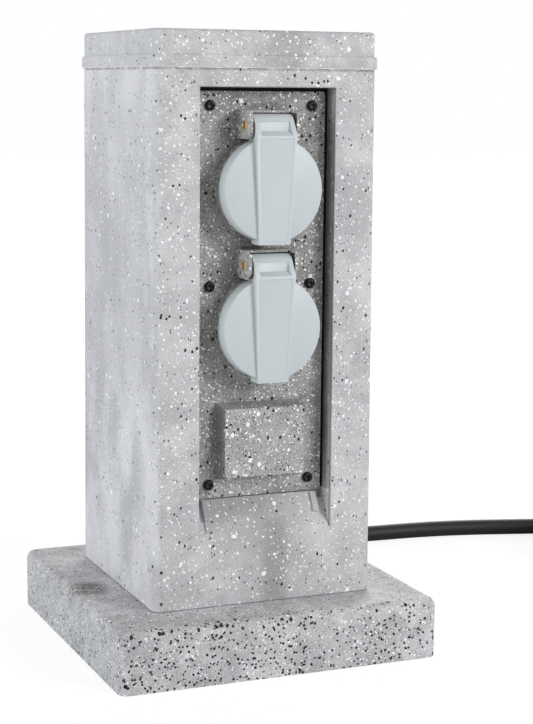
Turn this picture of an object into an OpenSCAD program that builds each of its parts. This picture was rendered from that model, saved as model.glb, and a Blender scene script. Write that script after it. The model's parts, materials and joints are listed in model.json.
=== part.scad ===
/* [Base] */
// Width and depth of the base plate
base_w = 172.4; // [150:0.1:220]
// Height of the base plate
base_h = 31.4; // [28:0.1:45]
// Radius of the base plate's upright edges
base_corner_r = 5; // [3:0.5:12]
// Rounding of the base plate's top edge
base_edge_r = 4.5; // [1:0.5:7]
// Wall of the base plate's moulding
base_wall = 4; // [3:0.5:6]
// Thickness of the ribs under the base plate
base_rib_t = 2.5; // [1.5:0.5:4]
// Distance between the ribs under the base plate
base_rib_pitch = 33; // [30:1:40]

/* [Column] */
// Width and depth of the column at its foot
column_w = 119.4; // [114:0.1:126]
// How much narrower the column is at its top
column_draft = 1.6; // [0.4:0.1:3]
// Height of the column between base plate and cap
column_h = 269.3; // [262:0.1:330]
// Radius of the column's upright edges
column_corner_r = 4; // [2:0.5:8]
// Wall of the column
column_wall = 3; // [2.4:0.1:3.6]
// Radius of the screw bosses inside the column's foot
foot_boss_r = 5; // [4.2:0.1:6]
// Height of the screw bosses inside the column's foot
foot_boss_h = 28; // [24:1:45]
// Shank radius of the screws that hold the column
foot_screw_r = 2.2; // [1.6:0.1:2.6]
// Length of the screws that hold the column
foot_screw_l = 25; // [18:1:28]

/* [Cap] */
// How far the cap's sides stand in from the column's top
cap_inset = 0.25; // [0:0.05:0.8]
// Height of the cap above the column
cap_h = 18.1; // [14:0.1:30]
// Rounding of the cap's top edge
cap_edge_r = 1.8; // [0.8:0.1:4]
// Wall of the cap
cap_wall = 3; // [2.4:0.1:4]
// Height of the band round the cap's lower edge
band_h = 5.8; // [4:0.1:9]
// How far the band stands out from the column
band_out = 0.9; // [0.4:0.1:2]
// How deep the cap's skirt reaches into the column
skirt_h = 5.5; // [4.5:0.1:6.5]
// Wall of the cap's skirt
skirt_t = 2.2; // [1.6:0.1:3]

/* [Socket panel] */
// Width of the socket panel
panel_w = 69.4; // [67:0.1:76]
// Thickness of the socket panel
panel_t = 3; // [2.4:0.1:3.6]
// Distance from the panel's top edge to the column's top
panel_drop = 11.4; // [9.5:0.1:16]
// Depth of the recess, from the column's front to the panel
recess_depth = 9.9; // [7:0.05:14]
// Gap between the panel's side and the recess wall
recess_side_gap = 1.3; // [0.5:0.1:2.5]
// Gap between the panel's top edge and the recess wall
recess_top_gap = 1.9; // [0.5:0.1:3]
// Gap between the panel's lower edge and the sill
recess_sill_gap = 0.5; // [0.3:0.1:2]
// Fall of the sloping sill from the panel to the column's front
sill_fall = 17; // [8:0.5:24]
// Wall of the recess behind the column's front
recess_wall = 2.5; // [1.8:0.1:3]
// Width of the drain gutter at each end of the sill
gutter_w = 4.6; // [2:0.1:5.2]
// Depth of the drain gutters
gutter_d = 2; // [1:0.1:2.4]
// Width of the ridge beside each drain gutter
ridge_w = 3; // [0.8:0.1:3.6]
// Height of that ridge above the sill
ridge_h = 1.3; // [0.5:0.1:2]
// Thickness of the foam gasket behind the panel
gasket_t = 1; // [0.6:0.1:2]
// Distance of the panel's screws from its middle line
screw_x = 27.3; // [27:0.1:28.5]
// Distance of the end screws from the panel's top and lower edge
screw_inset = 7; // [6:0.1:8]
// Height of the middle screws above the lower socket
screw_mid_rise = 20.2; // [17:0.1:24]
// Head radius of the panel's screws
screw_head_r = 2.7; // [2.2:0.1:3.2]
// Head height of the panel's screws
screw_head_h = 1.9; // [1.4:0.1:2.6]
// Shank radius of the panel's screws
screw_r = 1.45; // [1.1:0.05:1.7]
// Length of the panel's screws under the head
screw_l = 15; // [11:0.5:16]
// Width of the raised blank field
blank_w = 47.2; // [36:0.1:50]
// Height of the raised blank field
blank_h = 38.9; // [26:0.1:44]
// How far the blank field stands out from the panel
blank_out = 9; // [4:0.1:11]
// How much each side of the blank field leans in
blank_draft = 2; // [0.5:0.1:3.5]
// Distance from the blank field to the panel's lower edge
blank_rise = 9.7; // [6:0.1:14]
// Distance from the middle of the lower socket to the blank field
blank_drop = 38.9; // [31:0.1:46]

/* [Sockets] */
// Distance between the two sockets
socket_pitch = 68.6; // [68.2:0.1:72]
// Distance from the panel's top edge to the upper socket
socket_drop = 47.8; // [45:0.1:50]
// Outer radius of the collar round a socket
collar_r = 25.3; // [25:0.1:25.5]
// Height of the collar above the panel
collar_h = 8.7; // [7:0.1:9.5]
// Radius of the socket insert's outside
insert_r = 22.1; // [21.6:0.1:22.6]
// Radius of the well that a plug goes into
well_r = 19.8; // [19.2:0.1:20.2]
// Depth of the well
well_depth = 17.5; // [15:0.1:19]
// Distance between the two pin holes
pin_pitch = 19; // [18:0.1:20]
// Radius of the pin holes
pin_hole_r = 2.7; // [2.5:0.05:3]
// Length of the contact sleeves
sleeve_l = 18; // [14:0.5:22]
// Thickness of the earth clip's strip
clip_t = 0.8; // [0.5:0.1:1.1]
// Width of the earth clip's strip
clip_w = 5; // [3:0.1:6]

/* [Lids] */
// Radius of the lid
lid_r = 25.8; // [25.6:0.1:26.4]
// Thickness of the lid from its rim to its face
lid_t = 8.8; // [8:0.1:10]
// Wall of the lid's rim
lid_rim_t = 2; // [1.4:0.1:2.6]
// Wall of the lid's face
lid_face_t = 2.4; // [1.6:0.1:3]
// Half width of the lid's strap at its widest
strap_top = 10.6; // [9.8:0.1:10.8]
// Half width of the lid's strap at its lower end
strap_end = 8.2; // [6:0.1:10]
// How far the finger tab reaches below the lid
tab_out = 1; // [0.4:0.1:3]
// Radius of the lid's hinge barrel
barrel_r = 5.7; // [5.3:0.1:5.8]
// Half width of the hinge barrel
barrel_half = 10.5; // [9.8:0.05:10.7]
// Height of the hinge axis above the middle of the lid
hinge_rise = 31.3; // [31:0.1:32]
// Distance of the hinge axis from the panel
hinge_out = 11.6; // [11.2:0.1:12.5]
// Radius of the hinge pin
pin_r = 1.6; // [1.3:0.05:1.75]
// Thickness of each ear of the hinge hood
ear_t = 1.8; // [1.4:0.1:2.4]
// How far the hinge hood stands out from the panel
hood_out = 17.9; // [16:0.1:18.4]
// Thickness of the hood's bridge over the barrel
bridge_t = 1.3; // [1:0.1:2]
// Wire radius of the lid's spring
wire_r = 0.35; // [0.25:0.05:0.4]
// Turns of the lid's spring
spring_turns = 5; // [3:1:5]

/* [Cable] */
// Radius of the cable
cord_r = 5; // [4:0.1:5.2]
// Height of the cable gland above the base plate
gland_rise = 20.6; // [18:0.1:30]
// Thread radius of the cable gland
gland_thread_r = 10; // [9:0.1:11]
// Width across the flats of the gland's nut
gland_flats = 24; // [22.5:0.1:27]
// Thickness of the gland's hexagon flange
gland_flange_t = 6; // [4:0.1:8]
// Length of the gland's dome nut
gland_nut_l = 14; // [12:0.1:18]
// Length of the bend sleeve that follows the gland
sleeve_tail_l = 21.3; // [19:0.05:30]
// Radius of the plug's body
plug_r = 18.5; // [18:0.1:18.8]
// Length of the plug's body without its sleeve
plug_l = 38; // [32:0.5:44]
// Length of the plug's bend sleeve
plug_sleeve_l = 30; // [20:0.5:40]
// Length of the plug's pins
plug_pin_l = 19; // [18:0.1:20]
// Radius of the plug's pins
plug_pin_r = 2.4; // [2.2:0.05:2.45]

/* [Hidden] */
$fn = 48;

granite = "#b9bbbe";
panel_grey = "#9b9c9c";
lid_grey = "#c5cfd3";
black = "#202124";
brass = "#c49a45";

// Clearances
fit = 0.2;
turn_fit = 0.06;
seat_gap = 0.3;
eps = 0.01;

// Heights
column_top = base_h + column_h;
column_top_w = column_w - column_draft;
column_mid_half = (column_w + column_top_w) / 4;
cap_w = column_top_w - 2 * cap_inset;
panel_h = socket_drop + socket_pitch + blank_drop + blank_h + blank_rise;
panel_top = column_top - panel_drop;
panel_foot = panel_top - panel_h;
panel_y = -(column_mid_half - recess_depth);
upper_z = panel_top - socket_drop;
lower_z = upper_z - socket_pitch;
socket_zs = [upper_z, lower_z];
gland_z = base_h + gland_rise;

// Recess
recess_half = panel_w / 2 + recess_side_gap;
recess_top = panel_top + recess_top_gap;
sill_back_z = panel_foot - recess_sill_gap;
sill_front_z = sill_back_z - sill_fall;
column_front_y = -column_mid_half;
ledge_y = panel_y + panel_t + gasket_t;
ledge_back_y = ledge_y + column_wall;
panel_boss_r = screw_r + 1.9;
window_half = screw_x - panel_boss_r - 0.4;
window_inset = screw_inset + panel_boss_r + 0.6;
panel_boss_back = panel_y + screw_l + 1.5;
screw_rows = [panel_top - screw_inset, lower_z + screw_mid_rise, panel_foot + screw_inset];

// Column foot
foot_boss_at = column_w / 2 - column_wall - foot_boss_r + 0.9;
foot_pad_r = 6.5;
foot_pad_t = 3.5;
foot_head_r = 4.2;
foot_head_h = 2.8;

// Cap
skirt_w = column_top_w - 2 * column_wall - 2 * seat_gap;
snap_l = 24;
snap_h = 1.6;
snap_out = 0.6;
snap_z = column_top - skirt_h / 2 - 0.6;

// Socket insert, measured outward from the panel's face
rim_out = collar_h - 0.5;
floor_out = rim_out - well_depth;
floor_t = 2.5;
chamber_w = 32;
chamber_h = 26;
chamber_t = 1.6;
sleeve_r = 3.3;
sleeve_bore_r = plug_pin_r + 0.05;
sleeve_front = floor_out - floor_t - fit;
terminal_l = 6.5;
terminal_back = sleeve_front - sleeve_l - terminal_l;
chamber_back = terminal_back - 2;
cover_t = 2;
ear_hole_y = insert_r + 4.4;
ear_end_y = ear_hole_y + 3.6;
ear_plate_t = 3;
insert_boss_l = 2;
insert_boss_r = 4;
insert_screw_r = 1.3;
insert_screw_l = 5.6;
window_clip = clip_w / 2 + 0.7;
clip_seat = well_r - 1.5;
clip_foot = 3;
clip_waist = 9;
clip_rise = 13;
clip_pinch = 1.3;
clip_flare = 0.3;
wire_off = 3.2;

// Lid, measured outward from the panel's face and up from the middle of the socket
lid_back = collar_h + seat_gap;
lid_front = lid_back + lid_t;
strap_front_top = lid_front + 3.4;
strap_front_end = lid_front + 1.1;
strap_shoulder = 4.8;
barrel_front = hinge_out + barrel_r;
ear_inner = max(barrel_half, strap_top) + 0.9;
ear_outer = ear_inner + ear_t;
ear_foot = hinge_rise - barrel_r - 0.8;
ear_foot_r = 3.2;
ear_top_r = 3;
bridge_under = hinge_rise + barrel_r + 0.5;
bridge_out = hinge_out - 0.6;
hood_top = bridge_under + bridge_t;
pocket_half = barrel_half - 2.25;
pocket_rise = 1.9;
pocket_fall = 2.7;
cavity_r = 3;
cavity_half = 4.6;
coil_r = pin_r + wire_r + 0.45;
spring_pitch = 2 * wire_r + 0.55;
spring_leg_deg = 24;

// Gland and plug
gland_hex_r = gland_flats / sqrt(3);
gland_y = column_w / 2;
gland_seat_y = gland_y + gland_flange_t;
gland_nut_y = gland_seat_y + fit;
gland_tip_y = gland_nut_y + gland_nut_l;
cable_in_y = 35;
locknut_t = 5;
cord_exit_y = gland_tip_y + sleeve_tail_l - fit;
plug_z = plug_r + 0.5;
pin_root_r = plug_pin_r - 0.4;

// The cord's coil: its middle on the floor, outer radius, and where it starts and ends
coil_at = [312, 36];
coil_outer_r = 63;
coil_start_deg = 75;
coil_loop_steps = 24;
coil_steps = 77;
coil_step_deg = 360 / coil_loop_steps;
coil_sweep_deg = coil_steps * coil_step_deg;
coil_gap = 0.6;
coil_pitch = 2 * cord_r + coil_gap;
tie_t = 0.9;
tie_gap = 0.4;
tie_w = 9;
tie_deg = -32;
coil_z = cord_r + tie_gap + tie_t + 0.1;
lead_l = 2 * cord_r;
tail_l = 26;
lift_deg = 135;
plug_lift = plug_z - coil_z - coil_pitch;

// The cord's route on the floor, from the gland to the coil
cord_points = [[0, 101, 52], [0, 113, 52], [5, 128, 50], [15, 141, 46], [28, 150, 39.5],
    [44, 154, 31], [62, 153.5, 20.5], [80, 151.5, 13], [98, 148.5, 8], [117, 145, 5.6],
    [138, 141.5, 5.2], [160, 139, 5.2], [184, 137.5, 5.2], [207, 134.5, 5.2], [230, 129.5, 5.2],
    [252, 123, 5.2], [274, 115.5, 5.4], [290, 109, 5.8], [301, 104, 6.3]];

// The cores' route inside the column, from the cable's end to the lower socket
core_points = [[0.05, 26, 53], [0.25, 16, 60], [0.6, 8, 76], [0.9, 6, 98], [1, 6, 122], [1, 6, 146]];

function clamp_low(v, low) = v < low ? low : v;
function unit(v) = v / norm(v);
function arc(c, r, a0, a1, n) =
    [for (i = [0:n]) let (a = a0 + (a1 - a0) * i / n) c + r * [cos(a), sin(a)]];
function column_half(z) = column_w / 2 - column_draft / 2 * (z - base_h) / column_h;

// A swept tube: rings of corners across the path, and the triangles between them
function way(path, i, first, last) =
    i == 0 ? first : i == len(path) - 1 ? last : unit(path[i + 1] - path[i - 1]);
function ring(p, t, up, r, sides) =
    let (s = unit(cross(t, up)), u = cross(s, t))
    [for (k = [0:sides - 1]) let (a = 360 * k / sides) p + r * (cos(a) * s + sin(a) * u)];
function tube_points(path, r, sides, up, first, last) =
    [for (i = [0:len(path) - 1]) each ring(path[i], way(path, i, first, last), up, r, sides)];
function tube_faces(rings, sides) = concat(
    [[for (k = [0:sides - 1]) k]],
    [for (i = [0:rings - 2]) for (k = [0:sides - 1])
        let (a = i * sides + k, b = i * sides + (k + 1) % sides)
        each [[a, a + sides, b], [b, a + sides, b + sides]]],
    [[for (k = [0:sides - 1]) rings * sides - 1 - k]]);
function least_gap(path, r, skip) =
    min([for (i = [0:len(path) - 1]) for (j = [i + skip:1:len(path) - 1])
        norm(path[i] - path[j])]) - 2 * r;

module tube(path, r, sides, up, first, last) {
    polyhedron(
        tube_points(path, r, sides, up, first, last),
        tube_faces(len(path), sides),
        convexity = 8);
}

module rounded_square(w, d, r) {
    square([w - 2 * r, d], center = true);
    square([w, d - 2 * r], center = true);
    for (x = [-1, 1], y = [-1, 1])
        translate([x * (w / 2 - r), y * (d / 2 - r)])
            circle(r = r);
}

module slab(w, r, z) {
    translate([0, 0, z])
        linear_extrude(eps)
            rounded_square(w, w, r, $fn = 32);
}

// A square block that narrows evenly from its foot to its top
module tapered_block(w0, w1, r, z0, z1) {
    hull() {
        slab(w0, r, z0);
        slab(w1, r, z1 - eps);
    }
}

// A square block with a rounded top edge
module soft_block(w, corner, edge, z0, z1) {
    hull() {
        slab(w, corner, z0);
        for (a = [0:22.5:90])
            slab(w - 2 * edge * (1 - cos(a)), clamp_low(corner - edge * (1 - cos(a)), 0.4),
                z1 - eps - edge * (1 - sin(a)));
    }
}

// Places a shape on the panel's face: X across, Y up, Z outward
module on_panel(z) {
    translate([0, panel_y, z])
        rotate([90, 0, 0])
            children();
}

// Sweeps a profile drawn as (up, outward) across the panel
module across(w) {
    rotate([90, 0, 90])
        linear_extrude(w, center = true)
            children();
}

// A round bar along X
module bar_x(r, l) {
    rotate([0, 90, 0])
        cylinder(r = r, h = l, center = true);
}

// A shape about a back to front line, built from its start towards the back
module backward(y, z) {
    translate([0, y, z])
        rotate([-90, 0, 0])
            children();
}

module four_corners(at) {
    for (x = [-at, at], y = [-at, at])
        translate([x, y, 0])
            children();
}

module base_plate() {
    color(granite)
    difference() {
        soft_block(base_w, base_corner_r, base_edge_r, 0, base_h);
        difference() {
            translate([0, 0, -1])
                linear_extrude(base_h - base_wall + 1)
                    rounded_square(base_w - 2 * base_wall, base_w - 2 * base_wall,
                        clamp_low(base_corner_r - base_wall, 1));
            for (i = [-2:2])
                translate([i * base_rib_pitch - base_rib_t / 2, -base_w / 2, 3])
                    cube([base_rib_t, base_w, base_h]);
            for (i = [-2:2])
                translate([-base_w / 2, i * base_rib_pitch - base_rib_t / 2, 3])
                    cube([base_w, base_rib_t, base_h]);
            four_corners(foot_boss_at)
                translate([0, 0, base_h - base_wall - foot_pad_t])
                    cylinder(r = foot_pad_r, h = base_wall + foot_pad_t);
        }
        four_corners(foot_boss_at)
            cylinder(r = foot_screw_r + fit, h = base_h + 1);
    }
}

module recess_tub() {
    front = -(column_top_w / 2 - column_wall / 2);
    across(2 * (recess_half + recess_wall))
        polygon([[front, sill_front_z - 4], [ledge_back_y, sill_back_z - recess_wall],
            [ledge_back_y, recess_top + recess_wall], [front, recess_top + recess_wall]]);
}

module recess_cut() {
    slope = sill_fall / (recess_depth - 0.5);
    out_y = column_front_y - 10;
    across(2 * recess_half)
        polygon([[out_y, sill_front_z - 10 * slope], [panel_y - 0.5, sill_back_z],
            [ledge_y, sill_back_z], [ledge_y, recess_top], [out_y, recess_top]]);
}

// Gutter at each end of the sill: deepest behind, it runs out at the column's front
module gutters() {
    for (x = [-1, 1])
        translate([x * (recess_half - gutter_w / 2), 0, 0])
            across(gutter_w)
                polygon([[column_front_y, sill_front_z], [panel_y - 0.5, sill_back_z - gutter_d * 2],
                    [ledge_y, sill_back_z - gutter_d * 2], [ledge_y, sill_back_z + 1],
                    [panel_y - 0.5, sill_back_z + 1], [column_front_y, sill_front_z + 1]]);
}

// Ridge beside each gutter, which ends part of the way down the sill
module gutter_ridges() {
    foot = [panel_y - 0.5, sill_back_z];
    run = [column_front_y, sill_front_z] - foot;
    along = run / norm(run);
    out = [along.y, -along.x];
    end = foot + 0.6 * run;
    for (x = [-1, 1])
        translate([x * (recess_half - gutter_w - ridge_w / 2), 0, 0])
            across(ridge_w)
                polygon([foot + 0.6 * along - 0.4 * out, foot + 0.6 * along + ridge_h * out,
                    end - 0.8 * along + ridge_h * out, end, end - 0.4 * out]);
}

module column() {
    inner_r = clamp_low(column_corner_r - column_wall, 0.8);
    color(granite)
    union() {
        difference() {
            union() {
                difference() {
                    tapered_block(column_w, column_top_w, column_corner_r, base_h, column_top);
                    tapered_block(column_w - 2 * column_wall, column_top_w - 2 * column_wall,
                        inner_r, base_h - 1, column_top + 1);
                }
                recess_tub();
                four_corners(foot_boss_at)
                    translate([0, 0, base_h])
                        cylinder(r = foot_boss_r, h = foot_boss_h);
                for (x = [-screw_x, screw_x], z = screw_rows)
                    backward(ledge_y + 1, z)
                        translate([x, 0, 0])
                            cylinder(r = panel_boss_r, h = panel_boss_back - ledge_y - 1);
            }
            recess_cut();
            gutters();
            translate([-window_half, ledge_y - 1, panel_foot + window_inset])
                cube([2 * window_half, column_wall + 2, panel_h - 2 * window_inset]);
            for (x = [-screw_x, screw_x], z = screw_rows)
                backward(ledge_y - 1, z)
                    translate([x, 0, 0])
                        cylinder(r = screw_r + turn_fit, h = panel_boss_back - ledge_y);
            four_corners(foot_boss_at)
                translate([0, 0, base_h - 1])
                    cylinder(r = foot_screw_r + turn_fit, h = foot_boss_h - 1);
            backward(column_w / 2 - column_wall - 3, gland_z)
                cylinder(r = gland_thread_r + fit, h = column_wall + 6);
            for (a = [0:90:270])
                rotate([0, 0, a])
                    translate([-snap_l / 2 - 1, column_top_w / 2 - column_wall - 1, snap_z - 0.3])
                        cube([snap_l + 2, 1 + snap_out, snap_h + 0.6]);
        }
        gutter_ridges();
    }
}

module top_cap() {
    color(granite)
    difference() {
        union() {
            soft_block(cap_w, column_corner_r - 0.5, cap_edge_r, column_top, column_top + cap_h);
            translate([0, 0, column_top])
                linear_extrude(band_h)
                    rounded_square(column_top_w + 2 * band_out, column_top_w + 2 * band_out,
                        column_corner_r);
            translate([0, 0, column_top - skirt_h])
                linear_extrude(skirt_h + 1)
                    rounded_square(skirt_w, skirt_w, 1);
            for (a = [0:90:270])
                rotate([0, 0, a])
                    translate([-snap_l / 2, skirt_w / 2 - 1, snap_z])
                        cube([snap_l, 1 + snap_out, snap_h]);
        }
        translate([0, 0, column_top - skirt_h - 1])
            linear_extrude(skirt_h + cap_h - cap_wall + 1)
                rounded_square(skirt_w - 2 * skirt_t, skirt_w - 2 * skirt_t, 1);
        translate([0, 0, column_top + 3])
            linear_extrude(cap_h - cap_wall - 3)
                rounded_square(cap_w - 2 * cap_wall, cap_w - 2 * cap_wall, 1);
    }
}

module column_screws() {
    color(black)
    four_corners(foot_boss_at)
        translate([0, 0, base_h - base_wall - foot_pad_t]) {
            difference() {
                translate([0, 0, -foot_head_h])
                    cylinder(r = foot_head_r, h = foot_head_h);
                for (a = [0, 90])
                    rotate([0, 0, a])
                        translate([-2, -0.5, -foot_head_h - 1])
                            cube([4, 1, 2.6]);
            }
            translate([0, 0, -eps])
                cylinder(r = foot_screw_r, h = foot_screw_l);
        }
}

// An ear of the hinge hood, drawn as (up, outward), with its front corners rounded
module ear_profile() {
    corner = [ear_foot + ear_foot_r, hood_out - ear_foot_r];
    polygon(concat([[ear_foot, -1]], arc(corner, ear_foot_r, 180, 90, 6),
        arc([hood_top - ear_top_r, hood_out - ear_top_r], ear_top_r, 90, 0, 6), [[hood_top, -1]]));
}

module hinge_hood() {
    difference() {
        union() {
            for (x = [-1, 1])
                translate([x * (ear_inner + ear_t / 2), 0, 0])
                    across(ear_t)
                        ear_profile();
            across(2 * ear_inner + 1)
                polygon([[bridge_under, -1], [bridge_under, bridge_out],
                    [hood_top - 0.4, bridge_out], [hood_top, bridge_out - 0.4], [hood_top, -1]]);
        }
        translate([0, hinge_rise, hinge_out])
            bar_x(pin_r + 0.03, 2 * ear_outer + 2);
    }
}

// A flat block whose four sides lean in towards its face
module leaning_block(w, h, t, draft) {
    intersection() {
        rotate([90, 0, 0])
            linear_extrude(h + 2, center = true)
                polygon([[-w / 2, 0], [w / 2, 0], [w / 2 - draft, t], [draft - w / 2, t]]);
        across(w + 2)
            polygon([[-h / 2, 0], [h / 2, 0], [h / 2 - draft, t], [draft - h / 2, t]]);
    }
}

module blank_field() {
    on_panel(panel_foot + blank_rise + blank_h / 2)
        translate([0, 0, -eps])
            leaning_block(blank_w, blank_h, blank_out + eps, blank_draft);
}

module blank_hollow() {
    wall = panel_t * 0.8;
    on_panel(panel_foot + blank_rise + blank_h / 2)
        translate([0, 0, -panel_t - 1])
            leaning_block(blank_w - 2 * wall, blank_h - 2 * wall,
                blank_out + panel_t + 1 - wall, blank_draft);
}

module socket_panel() {
    color(panel_grey)
    difference() {
        union() {
            on_panel((panel_top + panel_foot) / 2)
                translate([0, 0, -panel_t])
                    linear_extrude(panel_t)
                        rounded_square(panel_w, panel_h, 1);
            for (z = socket_zs)
                on_panel(z) {
                    translate([0, 0, -1])
                        cylinder(r = collar_r, h = collar_h + 1);
                    hinge_hood();
                    for (y = [-ear_hole_y, ear_hole_y])
                        translate([0, y, -panel_t - insert_boss_l])
                            cylinder(r = insert_boss_r, h = insert_boss_l + 1);
                }
            blank_field();
        }
        for (z = socket_zs)
            on_panel(z) {
                translate([0, 0, -panel_t - 3])
                    cylinder(r = insert_r + fit, h = collar_h + panel_t + 4);
                for (y = [-ear_hole_y, ear_hole_y])
                    translate([0, y, -panel_t - insert_boss_l - 1])
                        cylinder(r = insert_screw_r + turn_fit, h = insert_boss_l + panel_t - 0.2);
            }
        blank_hollow();
        for (x = [-screw_x, screw_x], z = screw_rows)
            on_panel(z)
                translate([x, 0, -panel_t - 1])
                    cylinder(r = screw_r + fit, h = panel_t + 2);
    }
}

module panel_gasket() {
    color(black)
    difference() {
        on_panel((panel_top + panel_foot) / 2)
            translate([0, 0, -panel_t - gasket_t])
                linear_extrude(gasket_t)
                    difference() {
                        rounded_square(panel_w - 1, panel_h - 1, 1);
                        square([2 * window_half, panel_h - 2 * window_inset], center = true);
                    }
        for (x = [-screw_x, screw_x], z = screw_rows)
            on_panel(z)
                translate([x, 0, -panel_t - gasket_t - 1])
                    cylinder(r = screw_r + fit, h = gasket_t + 2);
    }
}

// A pan head screw with a cross recess, its head on the face at height 0
module pan_screw(head_r, head_h, r, l) {
    difference() {
        rotate_extrude()
            polygon(concat([[0, 0], [head_r, 0], [head_r, head_h * 0.4]],
                arc([head_r * 0.45, head_h * 0.4], head_r * 0.55, 10, 80, 5), [[0, head_h]]));
        for (a = [0, 90])
            rotate([0, 0, a])
                translate([-head_r * 0.6, -head_r * 0.13, head_h - 1])
                    cube([head_r * 1.2, head_r * 0.26, 2]);
    }
    translate([0, 0, -l])
        cylinder(r = r, h = l + eps);
}

module panel_screws() {
    color(black)
    for (x = [-screw_x, screw_x], z = screw_rows)
        on_panel(z)
            translate([x, 0, 0])
                pan_screw(screw_head_r, screw_head_h, screw_r, screw_l);
}

module hinge_pin(z) {
    color(brass)
    on_panel(z)
        translate([0, hinge_rise, hinge_out])
            bar_x(pin_r, 2 * ear_outer - 0.2);
}

module socket_insert(z) {
    color("#3a3c3e")
    on_panel(z)
    difference() {
        union() {
            translate([0, 0, floor_out - floor_t])
                cylinder(r = insert_r, h = rim_out - floor_out + floor_t);
            translate([0, 0, chamber_back])
                linear_extrude(floor_out - floor_t - chamber_back + 1)
                    rounded_square(chamber_w, chamber_h, 2);
            translate([-6.5, -ear_end_y, -panel_t - insert_boss_l - ear_plate_t])
                cube([13, 2 * ear_end_y, ear_plate_t]);
        }
        difference() {
            translate([0, 0, floor_out])
                cylinder(r = well_r, h = well_depth + 1);
            for (x = [-1, 1])
                translate([x * (well_r - 0.4) - 1.5, -2.6, floor_out - 1])
                    cube([3, 5.2, well_depth - 2]);
        }
        translate([0, 0, chamber_back - 1])
            linear_extrude(floor_out - floor_t - chamber_back + 1)
                rounded_square(chamber_w - 2 * chamber_t, chamber_h - 2 * chamber_t, 1);
        for (x = [-1, 1])
            translate([x * pin_pitch / 2, 0, floor_out - floor_t - 1])
                cylinder(r = pin_hole_r, h = floor_t + 2);
        for (y = [-1, 1]) {
            translate([-window_clip, y * (clip_seat - 0.5) - 1.6, floor_out - floor_t - 1])
                cube([2 * window_clip, 3.2, floor_t + 2]);
            translate([-window_clip, y * (chamber_h / 2 - chamber_t / 2) - chamber_t,
                floor_out - floor_t - clip_t - 2 * fit])
                cube([2 * window_clip, 2 * chamber_t, clip_t + 2 * fit]);
            translate([0, y * ear_hole_y, -panel_t - insert_boss_l - ear_plate_t - 1])
                cylinder(r = insert_screw_r + fit, h = ear_plate_t + 2);
        }
    }
}

module insert_screws(z) {
    color(brass)
    on_panel(z)
        for (y = [-ear_hole_y, ear_hole_y])
            translate([0, y, -panel_t - insert_boss_l - ear_plate_t])
                rotate([180, 0, 0])
                    pan_screw(2.5, 1.6, insert_screw_r, insert_screw_l);
}

// One bent strip: it lies behind the well's floor and its two ends stand up inside the well
module earth_clip(z) {
    back = floor_out - floor_t - fit;
    half = [[clip_seat, back - clip_t], [clip_seat, floor_out + clip_foot],
        [clip_seat - clip_pinch, floor_out + clip_waist],
        [clip_seat + clip_flare, floor_out + clip_rise]];
    inner = [for (p = half) p - [clip_t, 0]];
    side = concat(half, [inner[3], inner[2], inner[1], [clip_seat - clip_t, back], [0, back],
        [0, back - clip_t]]);
    color("#b08d57")
    on_panel(z) {
        across(clip_w)
            union() {
                polygon(side);
                mirror([1, 0])
                    polygon(side);
            }
        translate([-3, -wire_off - 2.3, terminal_back])
            cube([6, 2 * wire_off + 4.6, back - clip_t - terminal_back + eps]);
    }
}

module contacts(z) {
    color(brass)
    on_panel(z)
        for (x = [-1, 1])
            translate([x * pin_pitch / 2, 0, 0]) {
                difference() {
                    translate([0, 0, sleeve_front - sleeve_l])
                        cylinder(r = sleeve_r, h = sleeve_l);
                    translate([0, 0, sleeve_front - sleeve_l - 1])
                        cylinder(r = sleeve_bore_r, h = sleeve_l + 2);
                    translate([-0.4, 0, sleeve_front - sleeve_l * 0.7])
                        cube([0.8, sleeve_r + 1, sleeve_l]);
                }
                translate([-3.4, -wire_off - 2.3, terminal_back])
                    cube([6.8, 2 * wire_off + 4.6, terminal_l + eps]);
            }
}

module rear_cover(z, rows) {
    color(black)
    on_panel(z)
    difference() {
        union() {
            translate([0, 0, chamber_back - cover_t])
                linear_extrude(cover_t)
                    rounded_square(chamber_w, chamber_h, 2);
            translate([0, 0, chamber_back - eps])
                linear_extrude(1.2)
                    difference() {
                        rounded_square(chamber_w - 2 * chamber_t - 2 * fit,
                            chamber_h - 2 * chamber_t - 2 * fit, 1);
                        square([chamber_w - 8, chamber_h - 8], center = true);
                    }
        }
        for (x = [-1:1], y = rows)
            translate([x * pin_pitch / 2, y * wire_off, chamber_back - cover_t - 1])
                cylinder(r = core_r + 0.4, h = cover_t + 2);
    }
}

// Where a line from the strap's shoulder touches the barrel, (up, outward) from the hinge axis
function barrel_touch() =
    let (shoulder = [-strap_shoulder, strap_front_top - hinge_out],
        turn = atan2(shoulder.x, shoulder.y) + acos(barrel_r / norm(shoulder)))
    barrel_r * [sin(turn), cos(turn)];

// The strap and hinge arm from the side, drawn as (up, outward)
module strap_side() {
    polygon([[-lid_r - tab_out, lid_back], [-lid_r - tab_out, strap_front_end],
        [hinge_rise - strap_shoulder, strap_front_top], [hinge_rise, hinge_out] + barrel_touch(),
        [hinge_rise, hinge_out], [hinge_rise - 4.1, hinge_out - 3.6],
        [hinge_rise - 5.5, lid_back], [lid_r - lid_rim_t + 0.2, lid_back],
        [lid_r - lid_rim_t + 0.2, lid_front - 1], [-lid_r + 1.2, lid_front - 1],
        [-lid_r + 1.2, lid_back]]);
}

module strap_front() {
    linear_extrude(strap_front_top + 2)
        polygon([[-strap_end, -lid_r - tab_out - 1], [strap_end, -lid_r - tab_out - 1],
            [strap_top, hinge_rise - strap_shoulder], [barrel_half, hinge_rise],
            [barrel_half, hinge_rise + barrel_r], [-barrel_half, hinge_rise + barrel_r],
            [-barrel_half, hinge_rise], [-strap_top, hinge_rise - strap_shoulder]]);
}

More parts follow.
